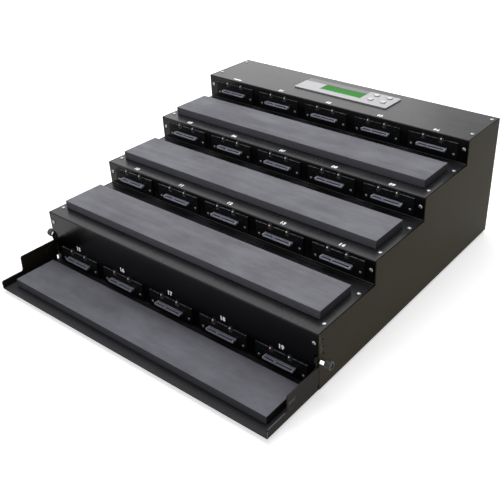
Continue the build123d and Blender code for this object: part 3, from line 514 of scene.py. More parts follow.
@dataclass(frozen=True)
class LampLens:
    """A clear tinted lamp with a painted highlight: a pale spot painted near the top of its round end, which
    glows with the lens.
    """

    name: str
    colour: Colour
    painted_highlight: Colour
    glow: float
    highlight_facing: Sequence[float] = (-0.2, -0.55, 0.81)

    def material(self) -> bpy.types.Material:
        """Build the lens."""
        shader = Shader(self.name)
        x, y, z = shader.facing()
        swirl = shader.noise(0.8 * MM, 2)
        highlight_share = x * self.highlight_facing[0] + y * self.highlight_facing[1] + z * self.highlight_facing[2]
        # Painted highlight: faces turned up and forward take the pale colour.
        colour = shader.mix(highlight_share.step(0.86, 0.98), self.colour, self.painted_highlight)
        return shader.finish(
            Base_Color=colour,
            Roughness=0.08 + swirl * 0.08,
            Coat_Weight=0.6,
            Coat_Roughness=0.04,
            Emission_Color=colour,
            Emission_Strength=self.glow,
        )


@dataclass(frozen=True)
class LitWindow:
    """A lit green display behind a clear window, with its faint grid of dots."""

    name: str
    colour: Colour
    glow: float
    column_pitch: float = 3.55 * MM
    row_pitch: float = 5.94 * MM

    def material(self) -> bpy.types.Material:
        """Build the display."""
        shader = Shader(self.name)
        x, y, _ = shader.axes(shader.place())
        column = shader.math("FRACT", x * (1 / self.column_pitch))
        row = shader.math("FRACT", y * (1 / self.row_pitch))
        cell = (column - 0.5).size().step(0.44, 0.4) * (row - 0.5).size().step(0.44, 0.4)
        cloud = shader.noise(30 * MM, 3)
        colour = shader.shade(self.colour, 0.9 + cloud * 0.16 - cell * 0.05)
        return shader.finish(
            Base_Color=colour,
            Roughness=0.3 + cloud * 0.06,
            Specular_IOR_Level=0.0,
            Emission_Color=colour,
            Emission_Strength=self.glow,
        )


@dataclass(frozen=True)
class PanelSheet:
    """Satin silver sheet with a painted shade: a greyer patch behind the display, out to the left of its
    right edge.
    """

    name: str
    colour: Colour
    painted_shade: float = 0.33
    fade: float = 1.2 * MM

    def material(self) -> bpy.types.Material:
        """Build the sheet."""
        shader = Shader(self.name)
        x, y, _ = shader.axes(shader.place())
        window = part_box("display_window")
        brush = shader.noise(0.25 * MM, 3, (0.04, 1, 1))
        cloud = shader.noise(12 * MM, 3, shift=2.3)
        behind = y.step(window[1].y - self.fade * 0.5, window[1].y + self.fade * 0.5)
        beside = x.step(window[1].x + self.fade, window[1].x - self.fade)
        # Painted shade: the patch behind the display is darker.
        level = (0.94 + cloud * 0.06 + brush * 0.06) * (1 - behind * beside * (1 - self.painted_shade))
        return shader.finish(
            Base_Color=shader.shade(self.colour, level),
            Metallic=0.3,
            Roughness=0.35 + brush * 0.1 + cloud * 0.05,
            Normal=shader.bump(brush, 0.004 * MM, 0.5),
        )


@dataclass(frozen=True)
class FlatCable:
    """Grey flat cable whose cores show as fine ridges along it."""

    name: str
    colour: Colour
    core_pitch: float = 1.27 * MM
    core_relief: float = 0.2 * MM

    def material(self) -> bpy.types.Material:
        """Build the cable."""
        shader = Shader(self.name)
        x, _, _ = shader.axes(shader.place())
        core = (shader.math("FRACT", x * (1 / self.core_pitch)) - 0.5).size()
        return shader.finish(
            Base_Color=shader.shade(self.colour, 1.1 - core * 0.7),
            Roughness=0.5 + core * 0.2,
            Normal=shader.bump(1 - core, self.core_relief, 0.8),
        )


class Finishes:
    """Every finish of the machine, each built once."""

    def __init__(self, scuffs_and_highlights: dict[str, tuple[ScuffAndHighlight, ...]]) -> None:
        """Build the finishes.

        Args:
            scuffs_and_highlights: the marks of the sheets that have some, painted highlights among them.
        """
        grey, brown = (0.3, 0.305, 0.33), (0.3, 0.285, 0.25)
        black = (0.0012, 0.0013, 0.002)
        self.deck = PowderCoat(
            "deck_coat", black, grey, 0.08, specular=0.2, scuffs_and_highlights=scuffs_and_highlights["deck"]
        ).material()
        self.top = PowderCoat("top_coat", black, grey, 0.1, specular=0.2).material()
        # The side, case and tray coats are lighter, warmer copies of the black coat on the decks: a painted
        # sheen on their upright faces.
        self.side = PowderCoat(
            "side_coat", (0.047, 0.04, 0.022), brown, 0.03, 0.52, 0.05, scuffs_and_highlights=scuffs_and_highlights["side"]
        ).material()
        self.case = PowderCoat("case_coat", (0.03, 0.029, 0.026), grey, 0.05, 0.5, 0.06).material()
        self.tray = PowderCoat(
            "tray_coat", (0.023, 0.02, 0.015), grey, 0.04, 0.42, 0.05,
            level_colour=(0.03, 0.03, 0.034), scuffs_and_highlights=scuffs_and_highlights["tray"],
        ).material()
        self.foam = FoamSheet("foam_grey", (0.228, 0.229, 0.255), (0.135, 0.136, 0.156)).material()
        # The tray's foam is a darker copy of the grey foam: a painted shade where the front sheet keeps
        # light off it.
        self.shaded_foam_tray = FoamSheet(
            "shaded_foam_tray", (0.18, 0.181, 0.208), (0.07, 0.071, 0.083), 5.0
        ).material()
        self.connector = Moulded("connector_grey", (0.4, 0.4, 0.5), 0.34, 0.3).material()
        self.clip = Metal("clip_tin", (0.85, 0.85, 0.88), 0.3, metallic=0.2).material()
        self.contact = Metal("contact_gold", (0.83, 0.62, 0.28), 0.2).material()
        self.board = BoardMask("board_upright").material()
        self.board_flat = BoardMask(
            "board_level", (0.01, 0.05, 0.03), (0.02, 0.09, 0.05), level=True
        ).material()
        self.chip = Moulded("chip_black", (0.012, 0.012, 0.014), 0.5, 0.15, specular=0.1).material()
        self.screw = Metal("screw_zinc", (0.34, 0.34, 0.35), 0.34).material()
        self.dark_screw = Metal("screw_black", (0.045, 0.045, 0.05), 0.3).material()
        self.port_screw = Metal("screw_grey", (0.3, 0.3, 0.32), 0.34, metallic=0.7).material()
        # The second colour of each lamp is its painted highlight.
        self.red_lamp = LampLens("lamp_red", (0.045, 0.003, 0.01), (0.82, 0.7, 0.73), 0.35).material()
        self.green_lamp = LampLens("lamp_green", (0.006, 0.03, 0.022), (0.7, 0.82, 0.77), 0.35).material()
        self.black = Moulded("plastic_black", (0.02, 0.02, 0.021), 0.42).material()
        self.grip = Moulded("knob_black", (0.02, 0.02, 0.021), 0.38, 0.25, 0.25).material()
        self.panel = PanelSheet("panel_silver", (0.368, 0.365, 0.378)).material()
        self.button = Moulded("button_grey", (0.66, 0.66, 0.68), 0.3, 0.3, 0.04).material()
        self.display = LitWindow("display_green", (0.078, 0.29, 0.076), 0.15).material()
        # The white ink glows a little: painted light that keeps the printed numbers white.
        self.ink = Moulded("ink_white_painted_glow", (0.86, 0.86, 0.86), 0.5, 0.2, 0.05, glow=0.25).material()
        self.mark = Moulded("ink_grey", (0.2, 0.2, 0.22), 0.5, 0.2, 0.05).material()
        self.rubber = Moulded("foot_rubber", (0.025, 0.025, 0.025), 0.75, 0.5).material()
        self.chrome = Metal("chrome_plate", (0.66, 0.67, 0.7), 0.16, tarnish=0.1).material()
        self.zinc = Metal("sheet_zinc", (0.4, 0.41, 0.42), 0.46, (0.1, 1, 1), 0.5).material()
        self.alloy = Metal("alloy_plain", (0.62, 0.63, 0.65), 0.35, (1, 0.1, 1), 0.3).material()
        self.ribbon = FlatCable("ribbon_grey", (0.5, 0.51, 0.53)).material()
        self.lead = Moulded("lead_black", (0.03, 0.03, 0.03), 0.5, 0.6).material()


# Shapes


@dataclass(frozen=True)
class Solid:
    """One separate solid of a CAD node."""

    points: tuple[Vector, ...]

    @property
    def low(self) -> Vector:
        """The lowest corner of its box."""
        return Vector(min(point[axis] for point in self.points) for axis in range(3))

    @property
    def high(self) -> Vector:
        """The highest corner of its box."""
        return Vector(max(point[axis] for point in self.points) for axis in range(3))

    @property
    def centre(self) -> Vector:
        """The middle of its box."""
        return (self.low + self.high) / 2

    def head(self) -> tuple[Vector, Vector, float]:
        """Where a screw's head meets its sheet, which way the head faces, and its radius."""
        low, high, centre = self.low, self.high, self.centre
        axis = max(range(3), key=lambda number: high[number] - low[number])
        facing = Vector()
        facing[axis] = 1.0
        spread = [(point - centre - facing * (point - centre)[axis]).length for point in self.points]
        radius = max(spread)
        rim = [point[axis] for point, gap in zip(self.points, spread) if gap > radius * RIM_SHARE]
        seat = min(rim)
        if sum(rim) / len(rim) < centre[axis]:
            facing, seat = -facing, max(rim)
        spot = centre.copy()
        spot[axis] = seat
        return spot, facing, radius


def solids(node: str) -> list[Solid]:
    """Split a CAD node into its separate solids, in order of height, depth and side.

    Args:
        node: the CAD node's name.

    Returns:
        The solids.
    """
    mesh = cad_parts[node].data
    keys = [tuple(round(part, CORNER_DIGITS) for part in vertex.co) for vertex in mesh.vertices]
    parent = {key: key for key in keys}

    def root(key: tuple) -> tuple:
        """The key that stands for a whole solid."""
        while parent[key] != key:
            parent[key] = parent[parent[key]]
            key = parent[key]
        return key

    for edge in mesh.edges:
        first, second = (root(keys[vertex]) for vertex in edge.vertices)
        parent[first] = second
    groups = defaultdict(list)
    for key in parent:
        groups[root(key)].append(Vector(key))
    found = [Solid(tuple(points)) for points in groups.values()]
    return sorted(
        found, key=lambda solid: tuple(round(part, PLACE_DIGITS) for part in reversed(solid.centre))
    )


def mesh_object(name: str, mesh: bpy.types.Mesh) -> bpy.types.Object:
    """Put a mesh into the scene as an object at the origin."""
    thing = bpy.data.objects.new(name, mesh)
    bpy.context.scene.collection.objects.link(thing)
    return thing


def plain_mesh(thing: bpy.types.Object) -> bpy.types.Mesh:
    """The evaluated shape of an object as a mesh of its own."""
    graph = bpy.context.evaluated_depsgraph_get()
    graph.update()
    return bpy.data.meshes.new_from_object(thing.evaluated_get(graph))


def discard(*things: bpy.types.Object) -> None:
    """Take helper objects out of the file."""
    for thing in things:
        bpy.data.objects.remove(thing)


def baked(thing: bpy.types.Object, name: str) -> bpy.types.Object:
    """Replace an object by a plain mesh of what its modifiers make."""
    mesh = plain_mesh(thing)
    discard(thing)
    mesh.name = name
    return mesh_object(name, mesh)


def add_box(shape: bmesh.types.BMesh, low: Vector, high: Vector) -> list[bmesh.types.BMVert]:
    """Add a box to a shape and return its corners."""
    made = bmesh.ops.create_cube(shape, size=1.0)["verts"]
    for vertex in made:
        vertex.co = Vector(
            low[axis] if vertex.co[axis] < 0 else high[axis] for axis in range(3)
        )
    return made


def lathe(
    profile: Sequence[tuple[float, float]],
    sides: int,
    flutes: int = 0,
    depths: Sequence[float] = (),
    closed: bool = False,
) -> bmesh.types.BMesh:
    """Turn a profile about Z.

    Args:
        profile: radius and height of each ring, from the bottom to the top.
        sides: how many facets go round.
        flutes: how many grooves go round, if any.
        depths: how deep the grooves are at each ring.
        closed: whether the last ring joins the first, as on a loose washer.

    Returns:
        A closed shape.
    """
    shape = bmesh.new()
    rings = []
    turns = [2 * math.pi * side / sides for side in range(sides)]
    for number, (radius, height) in enumerate(profile):
        if radius == 0:
            rings.append([shape.verts.new((0, 0, height))] * sides)
            continue
        ring = []
        for turn in turns:
            dip = depths[number] * (0.5 - 0.5 * math.cos(turn * flutes)) ** FLUTE_POWER if flutes else 0.0
            reach = radius - dip
            ring.append(shape.verts.new((reach * math.cos(turn), reach * math.sin(turn), height)))
        rings.append(ring)
    for lower, upper in zip(rings, rings[1:] + (rings[:1] if closed else [])):
        for side in range(sides):
            after = (side + 1) % sides
            corners = [lower[side], lower[after], upper[after], upper[side]]
            shape.faces.new(list(dict.fromkeys(corners)))
    if profile[0][0] > 0 and not closed:
        shape.faces.new(list(reversed(rings[0])))
    if profile[-1][0] > 0 and not closed:
        shape.faces.new(rings[-1])
    return shape


def to_mesh(shape: bmesh.types.BMesh, name: str, smooth: float | None = None) -> bpy.types.Mesh:
    """Turn a shape into a mesh, shaded smooth where its facets meet at less than an angle."""
    bmesh.ops.recalc_face_normals(shape, faces=shape.faces)
    mesh = bpy.data.meshes.new(name)
    shape.to_mesh(mesh)
    shape.free()
    if smooth is not None:
        mesh.shade_smooth()
        mesh.set_sharp_from_angle(angle=smooth)
    return mesh


class Workshop:
    """Makes finished pieces: gives each its material and the body it rides on."""

    def __init__(self, finishes: Finishes) -> None:
        """Start with no piece made.

        Args:
            finishes: every finish of the machine.
        """
        self.finishes = finishes
        self.repeat = Repeater()
        self.count = 0

    def add(
        self,
        thing: bpy.types.Object,
        material: bpy.types.Material,
        slot: str,
        body: Body = Body.CASE,
        replaces: Sequence[str] = (),
    ) -> None:
        """Finish one piece.

        Args:
            thing: the piece, in place.
            material: its finish.
            slot: the record's material slot that it belongs to; not used.
            body: the body that it moves with.
            replaces: CAD nodes that it stands for.
        """
        thing.data.materials.clear()
        thing.data.materials.append(material)
        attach(thing, body.value)
        if replaces:
            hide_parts(*replaces)
        self.count += 1
        LOG.info("piece %s: %d faces", thing.name, len(thing.data.polygons))

    @staticmethod
    def dress(finish: bpy.types.Material, *nodes: str) -> None:
        """Give CAD nodes a finish."""
        for node in nodes:
            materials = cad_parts[node].data.materials
            materials.clear()
            materials.append(finish)


class Repeater:
    """Geometry Nodes trees that copy a small part onto marked points."""

    def __init__(self) -> None:
        """Build both trees."""
        self.scatter = self._scatter_tree()
        self.comb = self._comb_tree()

    @staticmethod
    def _start(name: str, sockets: dict[str, str]) -> tuple[Graph, dict[str, Value]]:
        """Start a tree that takes points and the named inputs."""
        tree = bpy.data.node_groups.new(name, "GeometryNodeTree")
        for label, kind in {"Points": "Geometry", **sockets}.items():
            tree.interface.new_socket(label, in_out="INPUT", socket_type=f"NodeSocket{kind}")
        tree.interface.new_socket("Parts", in_out="OUTPUT", socket_type="NodeSocketGeometry")
        graph = Graph(tree)
        given = graph.node("NodeGroupInput")
        return graph, {label: Value(graph, given.outputs[label]) for label in ("Points", *sockets)}

    @staticmethod
    def _end(graph: Graph, copies: Value, finish: Value) -> bpy.types.NodeTree:
        """End a tree in real geometry with its material set."""
        real = graph.value("GeometryNodeRealizeInstances", inputs={0: copies})
        painted = graph.value("GeometryNodeSetMaterial", inputs={"Geometry": real, "Material": finish})
        graph.node("NodeGroupOutput", inputs={0: painted})
        return graph.tree

    def _scatter_tree(self) -> bpy.types.NodeTree:
        """Copy an object onto points, facing each point's direction, with a seeded turn."""
        sockets = {
            "Part": "Object", "Size": "Float", "Largest Turn": "Float", "Seed": "Int", "Finish": "Material"
        }
        graph, ask = self._start("parts_on_points", sockets)
        facing = graph.value(
            "GeometryNodeInputNamedAttribute", {"data_type": "FLOAT_VECTOR"}, {"Name": "facing"}
        )
        aligned = graph.value("FunctionNodeAlignRotationToVector", {"axis": "Z"}, {"Vector": facing})
        limits = {3: ask["Largest Turn"], "Seed": ask["Seed"]}
        turn = graph.value("FunctionNodeRandomValue", {"data_type": "FLOAT"}, limits, output=1)
        angles = graph.value("ShaderNodeCombineXYZ", inputs={"Z": turn})
        spin = graph.value("FunctionNodeEulerToRotation", inputs={0: angles})
        turned = graph.value(
            "FunctionNodeRotateRotation",
            {"rotation_space": "LOCAL"},
            {"Rotation": aligned, "Rotate By": spin},
        )
        part = graph.value("GeometryNodeObjectInfo", inputs={"Object": ask["Part"]}, output="Geometry")
        sizes = graph.value("ShaderNodeCombineXYZ", inputs=dict.fromkeys("XYZ", ask["Size"]))
        placing = {"Points": ask["Points"], "Instance": part, "Rotation": turned, "Scale": sizes}
        copies = graph.value("GeometryNodeInstanceOnPoints", inputs=placing)
        return self._end(graph, copies, ask["Finish"])

    def _comb_tree(self) -> bpy.types.NodeTree:
        """Set a straight row of equal blades along X on every point."""
        sockets = {"Count": "Int", "Pitch": "Float", "Blade": "Vector", "Finish": "Material"}
        graph, ask = self._start("blades_on_points", sockets)
        half = (ask["Count"] - 1.0) * ask["Pitch"] * -0.5
        start = graph.value("ShaderNodeCombineXYZ", inputs={"X": half})
        offset = graph.value("ShaderNodeCombineXYZ", inputs={"X": ask["Pitch"]})
        spacing = {"Count": ask["Count"], "Start Location": start, "Offset": offset}
        line = graph.value("GeometryNodeMeshLine", {"mode": "OFFSET"}, spacing)
        blade = graph.value("GeometryNodeMeshCube", inputs={"Size": ask["Blade"]})
        row = graph.value("GeometryNodeInstanceOnPoints", inputs={"Points": line, "Instance": blade})
        rows = graph.value("GeometryNodeInstanceOnPoints", inputs={"Points": ask["Points"], "Instance": row})
        return self._end(graph, rows, ask["Finish"])

    @staticmethod
    def _run(name: str, tree: bpy.types.NodeTree, points: Points, inputs: dict) -> bpy.types.Object:
        """Run a tree on points that each carry a facing direction."""
        mesh = bpy.data.meshes.new(name)
        mesh.from_pydata([tuple(spot) for spot, _ in points], [], [])
        facing = mesh.attributes.new("facing", "FLOAT_VECTOR", "POINT")
        for item, (_, direction) in zip(facing.data, points):
            item.vector = direction
        carrier = mesh_object(name + "_points", mesh)
        modifier = carrier.modifiers.new("repeat", "NODES")
        modifier.node_group = tree
        for item in tree.interface.items_tree:
            if item.name in inputs:
                modifier[item.identifier] = inputs[item.name]
        made = baked(carrier, name)
        marker = made.data.attributes.get("facing")
        if marker:
            made.data.attributes.remove(marker)
        return made

    def copy(
        self,
        name: str,
        part: bpy.types.Object,
        points: Points,
        finish: bpy.types.Material,
        size: float = 1.0,
        turn: float = 0.0,
        seed: int = 1,
    ) -> bpy.types.Object:
        """Copy a part onto points.

        Args:
            name: the new piece's name.
            part: the object to copy, made about the origin and facing +Z.
            points: where each copy goes and which way it faces.
            finish: the material.
            size: scale of each copy.
            turn: the largest random turn about the facing direction.
            seed: seed of the turns.

        Returns:
            The piece.
        """
        inputs = {"Part": part, "Size": size, "Largest Turn": turn, "Seed": seed, "Finish": finish}
        return self._run(name, self.scatter, points, inputs)

    def blades(
        self,
        name: str,
        spots: Sequence[Vector],
        count: int,
        pitch: float,
        blade: Vector,
        finish: bpy.types.Material,
    ) -> bpy.types.Object:
        """Set a comb of blades along X on each spot."""
        inputs = {"Count": count, "Pitch": pitch, "Blade": tuple(blade), "Finish": finish}
        return self._run(name, self.comb, [(spot, UP) for spot in spots], inputs)


# Fasteners


@dataclass(frozen=True)
class PanScrew:
    """A pan-head screw with a cross recess, made for a head of radius 1."""

    height: float = 0.5
    recess_width: float = 0.2
    recess_reach: float = 0.62
    recess_depth: float = 0.32
    floor_reach: float = 0.55
    floor_width: float = 0.9
    shank: float = 0.55
    shank_length: float = 2.2
    sides: int = 18
    crease: float = 35.0

    def part(self) -> bpy.types.Object:
        """Build the screw facing +Z, with its seat at the origin."""
        dome = [
            (self.shank, -self.shank_length),
            (self.shank, 0.0),
            (0.97, 0.0),
            (1.0, 0.12 * self.height),
            (0.96, 0.55 * self.height),
            (0.78, 0.85 * self.height),
            (0.45, 0.97 * self.height),
            (0.0, self.height),
        ]
        head = mesh_object("screw_head", to_mesh(lathe(dome, self.sides), "screw_head"))
        cross = bmesh.new()
        half = self.recess_width / 2
        floor = self.height - self.recess_depth
        for reach_x, reach_y in ((self.recess_reach, half), (half, self.recess_reach)):
            low = Vector((-reach_x, -reach_y, floor))
            for vertex in add_box(cross, low, Vector((reach_x, reach_y, 1.0))):
                if vertex.co.z < self.height:
                    vertex.co.x *= self.floor_reach if reach_x > half else self.floor_width
                    vertex.co.y *= self.floor_reach if reach_y > half else self.floor_width
        cutter = mesh_object("screw_recess", to_mesh(cross, "screw_recess"))
        cut = head.modifiers.new("recess", "BOOLEAN")
        cut.object = cutter
        cut.operation = "DIFFERENCE"
        cut.solver = "EXACT"
        cut.use_self = True
        part = baked(head, "screw_part")
        discard(cutter)
        part.data.shade_smooth()
        part.data.set_sharp_from_angle(angle=math.radians(self.crease))
        return part


@dataclass(frozen=True)
class Fasteners:
    """All the visible screws of the machine."""

    seed: int = 7

    def build(self, shop: Workshop) -> None:
        """Stand a recessed screw in for each plain one."""
        part = PanScrew().part()
        finishes = shop.finishes
        for name, node, material, share in (
            ("case_screws", "cover_screws", finishes.screw, 1.0),
            ("port_screws", "board_screws", finishes.port_screw, 0.68),
            ("rear_fan_screws", "fan_screws", finishes.dark_screw, 1.0),
        ):
            heads = [solid.head() for solid in solids(node)]
            points = [(spot, facing) for spot, facing, _ in heads]
            radius = heads[0][2] * share
            made = shop.repeat.copy(name, part, points, material, radius, math.pi, self.seed)
            shop.add(made, material, "screw", replaces=(node,))
        discard(part)


# Foam rests


@dataclass(frozen=True)
class FoamRest:
    """A foam slab with softly rounded edges and a faintly uneven skin, in metres."""

    edge: float = 0.7 * MM
    step: float = 4.0 * MM
    edge_shares: tuple[float, ...] = (0.0, 0.3, 0.62)
    crease: float = 60.0
    sag: float = 0.06 * MM
    sags_per_metre: float = 45.0
    wobble: float = 0.035 * MM
    wobbles_per_metre: float = 260.0

    def _marks(self, low: float, high: float) -> list[float]:
        """Grid lines along one axis, close together in the rounded edges."""
        steps = max(1, round((high - low - 2 * self.edge) / self.step))
        inner = [low + self.edge + (high - low - 2 * self.edge) * n / steps for n in range(steps + 1)]
        edge = [self.edge * share for share in self.edge_shares]
        return [low + gap for gap in edge] + inner + [high - gap for gap in reversed(edge)]

    def build(
        self, shop: Workshop, finish: bpy.types.Material, name: str, node: str, body: Body
    ) -> None:
        """Build the foam slab in the space of its CAD solid.

        Args:
            shop: where pieces are finished.
            finish: the foam.
            name: the piece's name.
            node: the CAD node that it replaces.
            body: the body that it moves with.
        """
        low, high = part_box(node)
        marks = [self._marks(low[axis], high[axis]) for axis in range(3)]
        shape = bmesh.new()
        made: dict[tuple[int, int, int], bmesh.types.BMVert] = {}

        def corner(key: tuple[int, int, int]) -> bmesh.types.BMVert:
            """The vertex of one grid point on the slab's surface."""
            if key not in made:
                point = Vector(marks[axis][key[axis]] for axis in range(3))
                made[key] = shape.verts.new(self._skin(point, low, high))
            return made[key]

        for axis in range(3):
            first, second = [other for other in range(3) if other != axis]
            for level in (0, len(marks[axis]) - 1):
                for i in range(len(marks[first]) - 1):
                    for j in range(len(marks[second]) - 1):
                        keys = []
                        for a, b in ((i, j), (i + 1, j), (i + 1, j + 1), (i, j + 1)):
                            key = [0, 0, 0]
                            key[axis], key[first], key[second] = level, a, b
                            keys.append(tuple(key))
                        shape.faces.new([corner(key) for key in keys])
        slab = mesh_object(name, to_mesh(shape, name, math.radians(self.crease)))
        shop.add(slab, finish, "foam", body, (node,))

    def _skin(self, point: Vector, low: Vector, high: Vector) -> Vector:
        """Round the edges and let the skin wander a little, never past the slab's box."""
        inner = Vector(
            min(max(point[axis], low[axis] + self.edge), high[axis] - self.edge) for axis in range(3)
        )
        out = point - inner
        if out.length > 0:
            point = inner + out.normalized() * self.edge
        wander = noise.noise(point * self.sags_per_metre) - 1.0
        fine = noise.noise(point * self.wobbles_per_metre) - 1.0
        depth = self.sag * wander + self.wobble * fine
        if point.z <= low.z + self.edge * 0.5:
            return point
        outward = out.normalized() if out.length > 0 else UP
        return point + outward * depth


# Drive ports


class SmallParts:
    """Little parts that the port rows repeat."""

    chip_size = Vector((2.0, 1.3, 0.9)) * MM
    resistor_size = Vector((1.6, 0.8, 0.6)) * MM
    softening = 0.12 * MM
    cap_corners = (Vector((-0.85, -0.12, -1.5)) * MM, Vector((0.85, 1.1, 0.12)) * MM)
    cap_rounding = 0.22 * MM
    strip_corners = (Vector((-0.35, 1.0, -0.1)) * MM, Vector((0.35, 5.6, 0.1)) * MM)

    def __init__(self) -> None:
        """Build each part about the origin, facing +Z."""
        self.chip = self._chip(self.chip_size)
        self.resistor = self._chip(self.resistor_size)
        self.tip = self._tip()

    def _chip(self, size: Vector) -> bpy.types.Object:
        """A small moulded block with softened edges."""
        shape = bmesh.new()
        add_box(shape, Vector((-size.x / 2, -size.y / 2, 0)), Vector((size.x / 2, size.y / 2, size.z)))
        bmesh.ops.bevel(shape, geom=list(shape.edges), offset=self.softening, segments=1, affect="EDGES")
        return mesh_object("small_part", to_mesh(shape, "small_part"))

    def _tip(self) -> bpy.types.Object:
        """A small rounded cap over the front of a post, with a thin strip along its top."""
        shape = bmesh.new()
        cap = add_box(shape, *self.cap_corners)
        edges = list({edge for vertex in cap for edge in vertex.link_edges})
        bmesh.ops.bevel(shape, geom=edges, offset=self.cap_rounding, segments=2, affect="EDGES")
        add_box(shape, *self.strip_corners)
        return mesh_object("tip_part", to_mesh(shape, "tip_part"))

    def discard(self) -> None:
        """Take the patterns out of the file."""
        discard(self.chip, self.resistor, self.tip)


@dataclass(frozen=True)
class PortRow:
    """One row of five drive ports: contacts, clips, small parts and printed numbers."""

    row: int
    power_slot: float = 22.4 * MM
    signal_slot: float = 12.0 * MM
    bridge: float = 2.4 * MM
    bridge_gap: float = 1.9 * MM
    jaw_setback: float = 2.2 * MM
    jaw_height: float = 0.6 * MM
    jaw_skin: float = 0.12 * MM
    lip_height: float = 1.3 * MM
    post_width: float = 1.6 * MM
    rib_margin: float = 0.5 * MM
    rib_width: float = 0.85 * MM
    rib_height: float = 0.26 * MM
    rib_pitch: float = 1.3 * MM
    first_rib: float = 0.15 * MM
    first_groove: float = 1.02 * MM
    groove_width: float = 0.41 * MM
    film: float = 0.05 * MM
    root: float = 0.1 * MM
    slot_front: float = 0.3 * MM
    slot_reach: float = 4.4 * MM
    slot_floor: float = 0.08 * MM
    contact_pitch: float = 1.27 * MM
    contact_setback: float = 1.5 * MM
    contact_drop: float = 0.68 * MM
    contact: tuple[float, float, float] = (0.6, 2.4, 0.22)
    power_contacts: int = 15
    signal_contacts: int = 7
    chips: tuple = ((-27.5, 19.5), (-24.4, 19.5), (16.4, 19.2), (27.6, 19.5), (-2.0, 19.4))
    resistors: tuple = (
        (-18.4, 19.4), (-8.4, 19.8), (6.4, 19.8), (19.6, 19.2), (33.4, 16.0), (-33.4, 16.0)
    )
    row_ports: int = 5
    last_row: int = 4
    number_height: float = 5.2 * MM
    cap_share: float = 0.7
    number_setback: float = 6.5 * MM
    front_number_base: float = 30.8 * MM
    front_number_gap: float = 0.04 * MM
    ink: float = 0.02 * MM
    boldness: float = 0.42 * MM
    letter_space: float = 1.12
    bar_reach: float = 7.6 * MM
    bar_rise: tuple[float, float] = (0.6 * MM, 4.0 * MM)
    bar_corner: float = 0.7 * MM

    def build(self, shop: Workshop, parts: SmallParts) -> None:
        """Build all that the row has in front of its riser."""
        connectors = solids(f"drive_connectors_{self.row}")
        self._contacts(shop, connectors)
        self._tips(shop, connectors, parts)
        self._ribs(shop, connectors)
        self._components(shop, solids(f"port_boards_{self.row}"), parts)
        self._numbers(shop, connectors)

    def _contacts(self, shop: Workshop, connectors: list[Solid]) -> None:
        """Gold contacts under the jaw, along the upper wall of both slots."""
        finish = shop.finishes.contact
        for name, count, middle in (
            ("signal", self.signal_contacts, -(self.power_slot + self.bridge) / 2),
            ("power", self.power_contacts, (self.signal_slot + self.bridge) / 2),
        ):
            setback = self.jaw_setback + self.contact_setback
            spots = [
                Vector((solid.centre.x + middle, solid.low.y + setback, solid.high.z - self.contact_drop))
                for solid in connectors
            ]
            blade = Vector(self.contact) * MM
            made = shop.repeat.blades(
                f"{name}_contacts_{self.row}", spots, count, self.contact_pitch, blade, finish
            )
            shop.add(made, finish, "bright_metal")

    def _tips(self, shop: Workshop, connectors: list[Solid], parts: SmallParts) -> None:
        """A bright tip on the front of both posts of every connector."""
        inset = self.post_width / 2
        points = [
            (Vector((x, solid.low.y, solid.high.z)), UP)
            for solid in connectors
            for x in (solid.low.x + inset, solid.high.x - inset)
        ]
        made = shop.repeat.copy(f"connector_tips_{self.row}", parts.tip, points, shop.finishes.clip)
        shop.add(made, shop.finishes.clip, "bright_metal")

    def _ribs(self, shop: Workshop, connectors: list[Solid]) -> None:
        """The long ribs on the top of each connector, with thin black films in the gaps between them, on the
        slot floors and on the jaw's front face: painted shade.
        """
        ribs, painted_shade_films = bmesh.new(), bmesh.new()
        for solid in connectors:
            mouth, top = solid.low.y + self.jaw_setback, solid.high.z
            sill, jaw = solid.low.z + self.lip_height, top - self.jaw_height
            left = solid.low.x + self.post_width + self.rib_margin
            right = solid.high.x - self.post_width - self.rib_margin
            middle = solid.centre.x - (self.power_slot - self.signal_slot) / 2
            whole = [(left, right)]
            halves = [(left, middle - self.bridge_gap), (middle + self.bridge_gap, right)]
            for number, spans in enumerate((halves, whole, whole)):
                rib = mouth + self.first_rib + number * self.rib_pitch
                height = (top - self.root, top + self.rib_height)
                self._bars(ribs, spans, (rib, rib + self.rib_width), height)
                # Painted shade: a thin black film in the gap after each rib.
                groove = mouth + self.first_groove + number * self.rib_pitch
                height = (top - self.root, top + self.film)
                self._bars(painted_shade_films, whole, (groove, groove + self.groove_width), height)
            # Painted shade: black films on the slot floors and on the jaw's front face.
            slot = (mouth - self.slot_front, mouth + self.slot_reach)
            self._bars(painted_shade_films, halves, slot, (sill - self.film, sill + self.slot_floor))
            brow_shade = (mouth - self.film, mouth + self.root)
            self._bars(painted_shade_films, halves, brow_shade, (jaw + self.ink, top - self.jaw_skin))
        shade_films_piece = mesh_object(f"connector_grooves_{self.row}", to_mesh(painted_shade_films, "painted_shade_films"))
        shop.add(shade_films_piece, shop.finishes.chip, "connector")
        made = mesh_object(f"connector_ridges_{self.row}", to_mesh(ribs, "ridges"))
        bevel = made.modifiers.new("round", "BEVEL")
        bevel.width = self.root
        bevel.segments = 1
        shop.add(baked(made, f"connector_ridges_{self.row}"), shop.finishes.connector, "connector")

    @staticmethod
    def _bars(
        shape: bmesh.types.BMesh,
        spans: Sequence[tuple[float, float]],
        depth: tuple[float, float],
        height: tuple[float, float],
    ) -> None:
        """Add one bar along X for each span, between two depths and two heights."""
        for low_x, high_x in spans:
            add_box(shape, Vector((low_x, depth[0], height[0])), Vector((high_x, depth[1], height[1])))

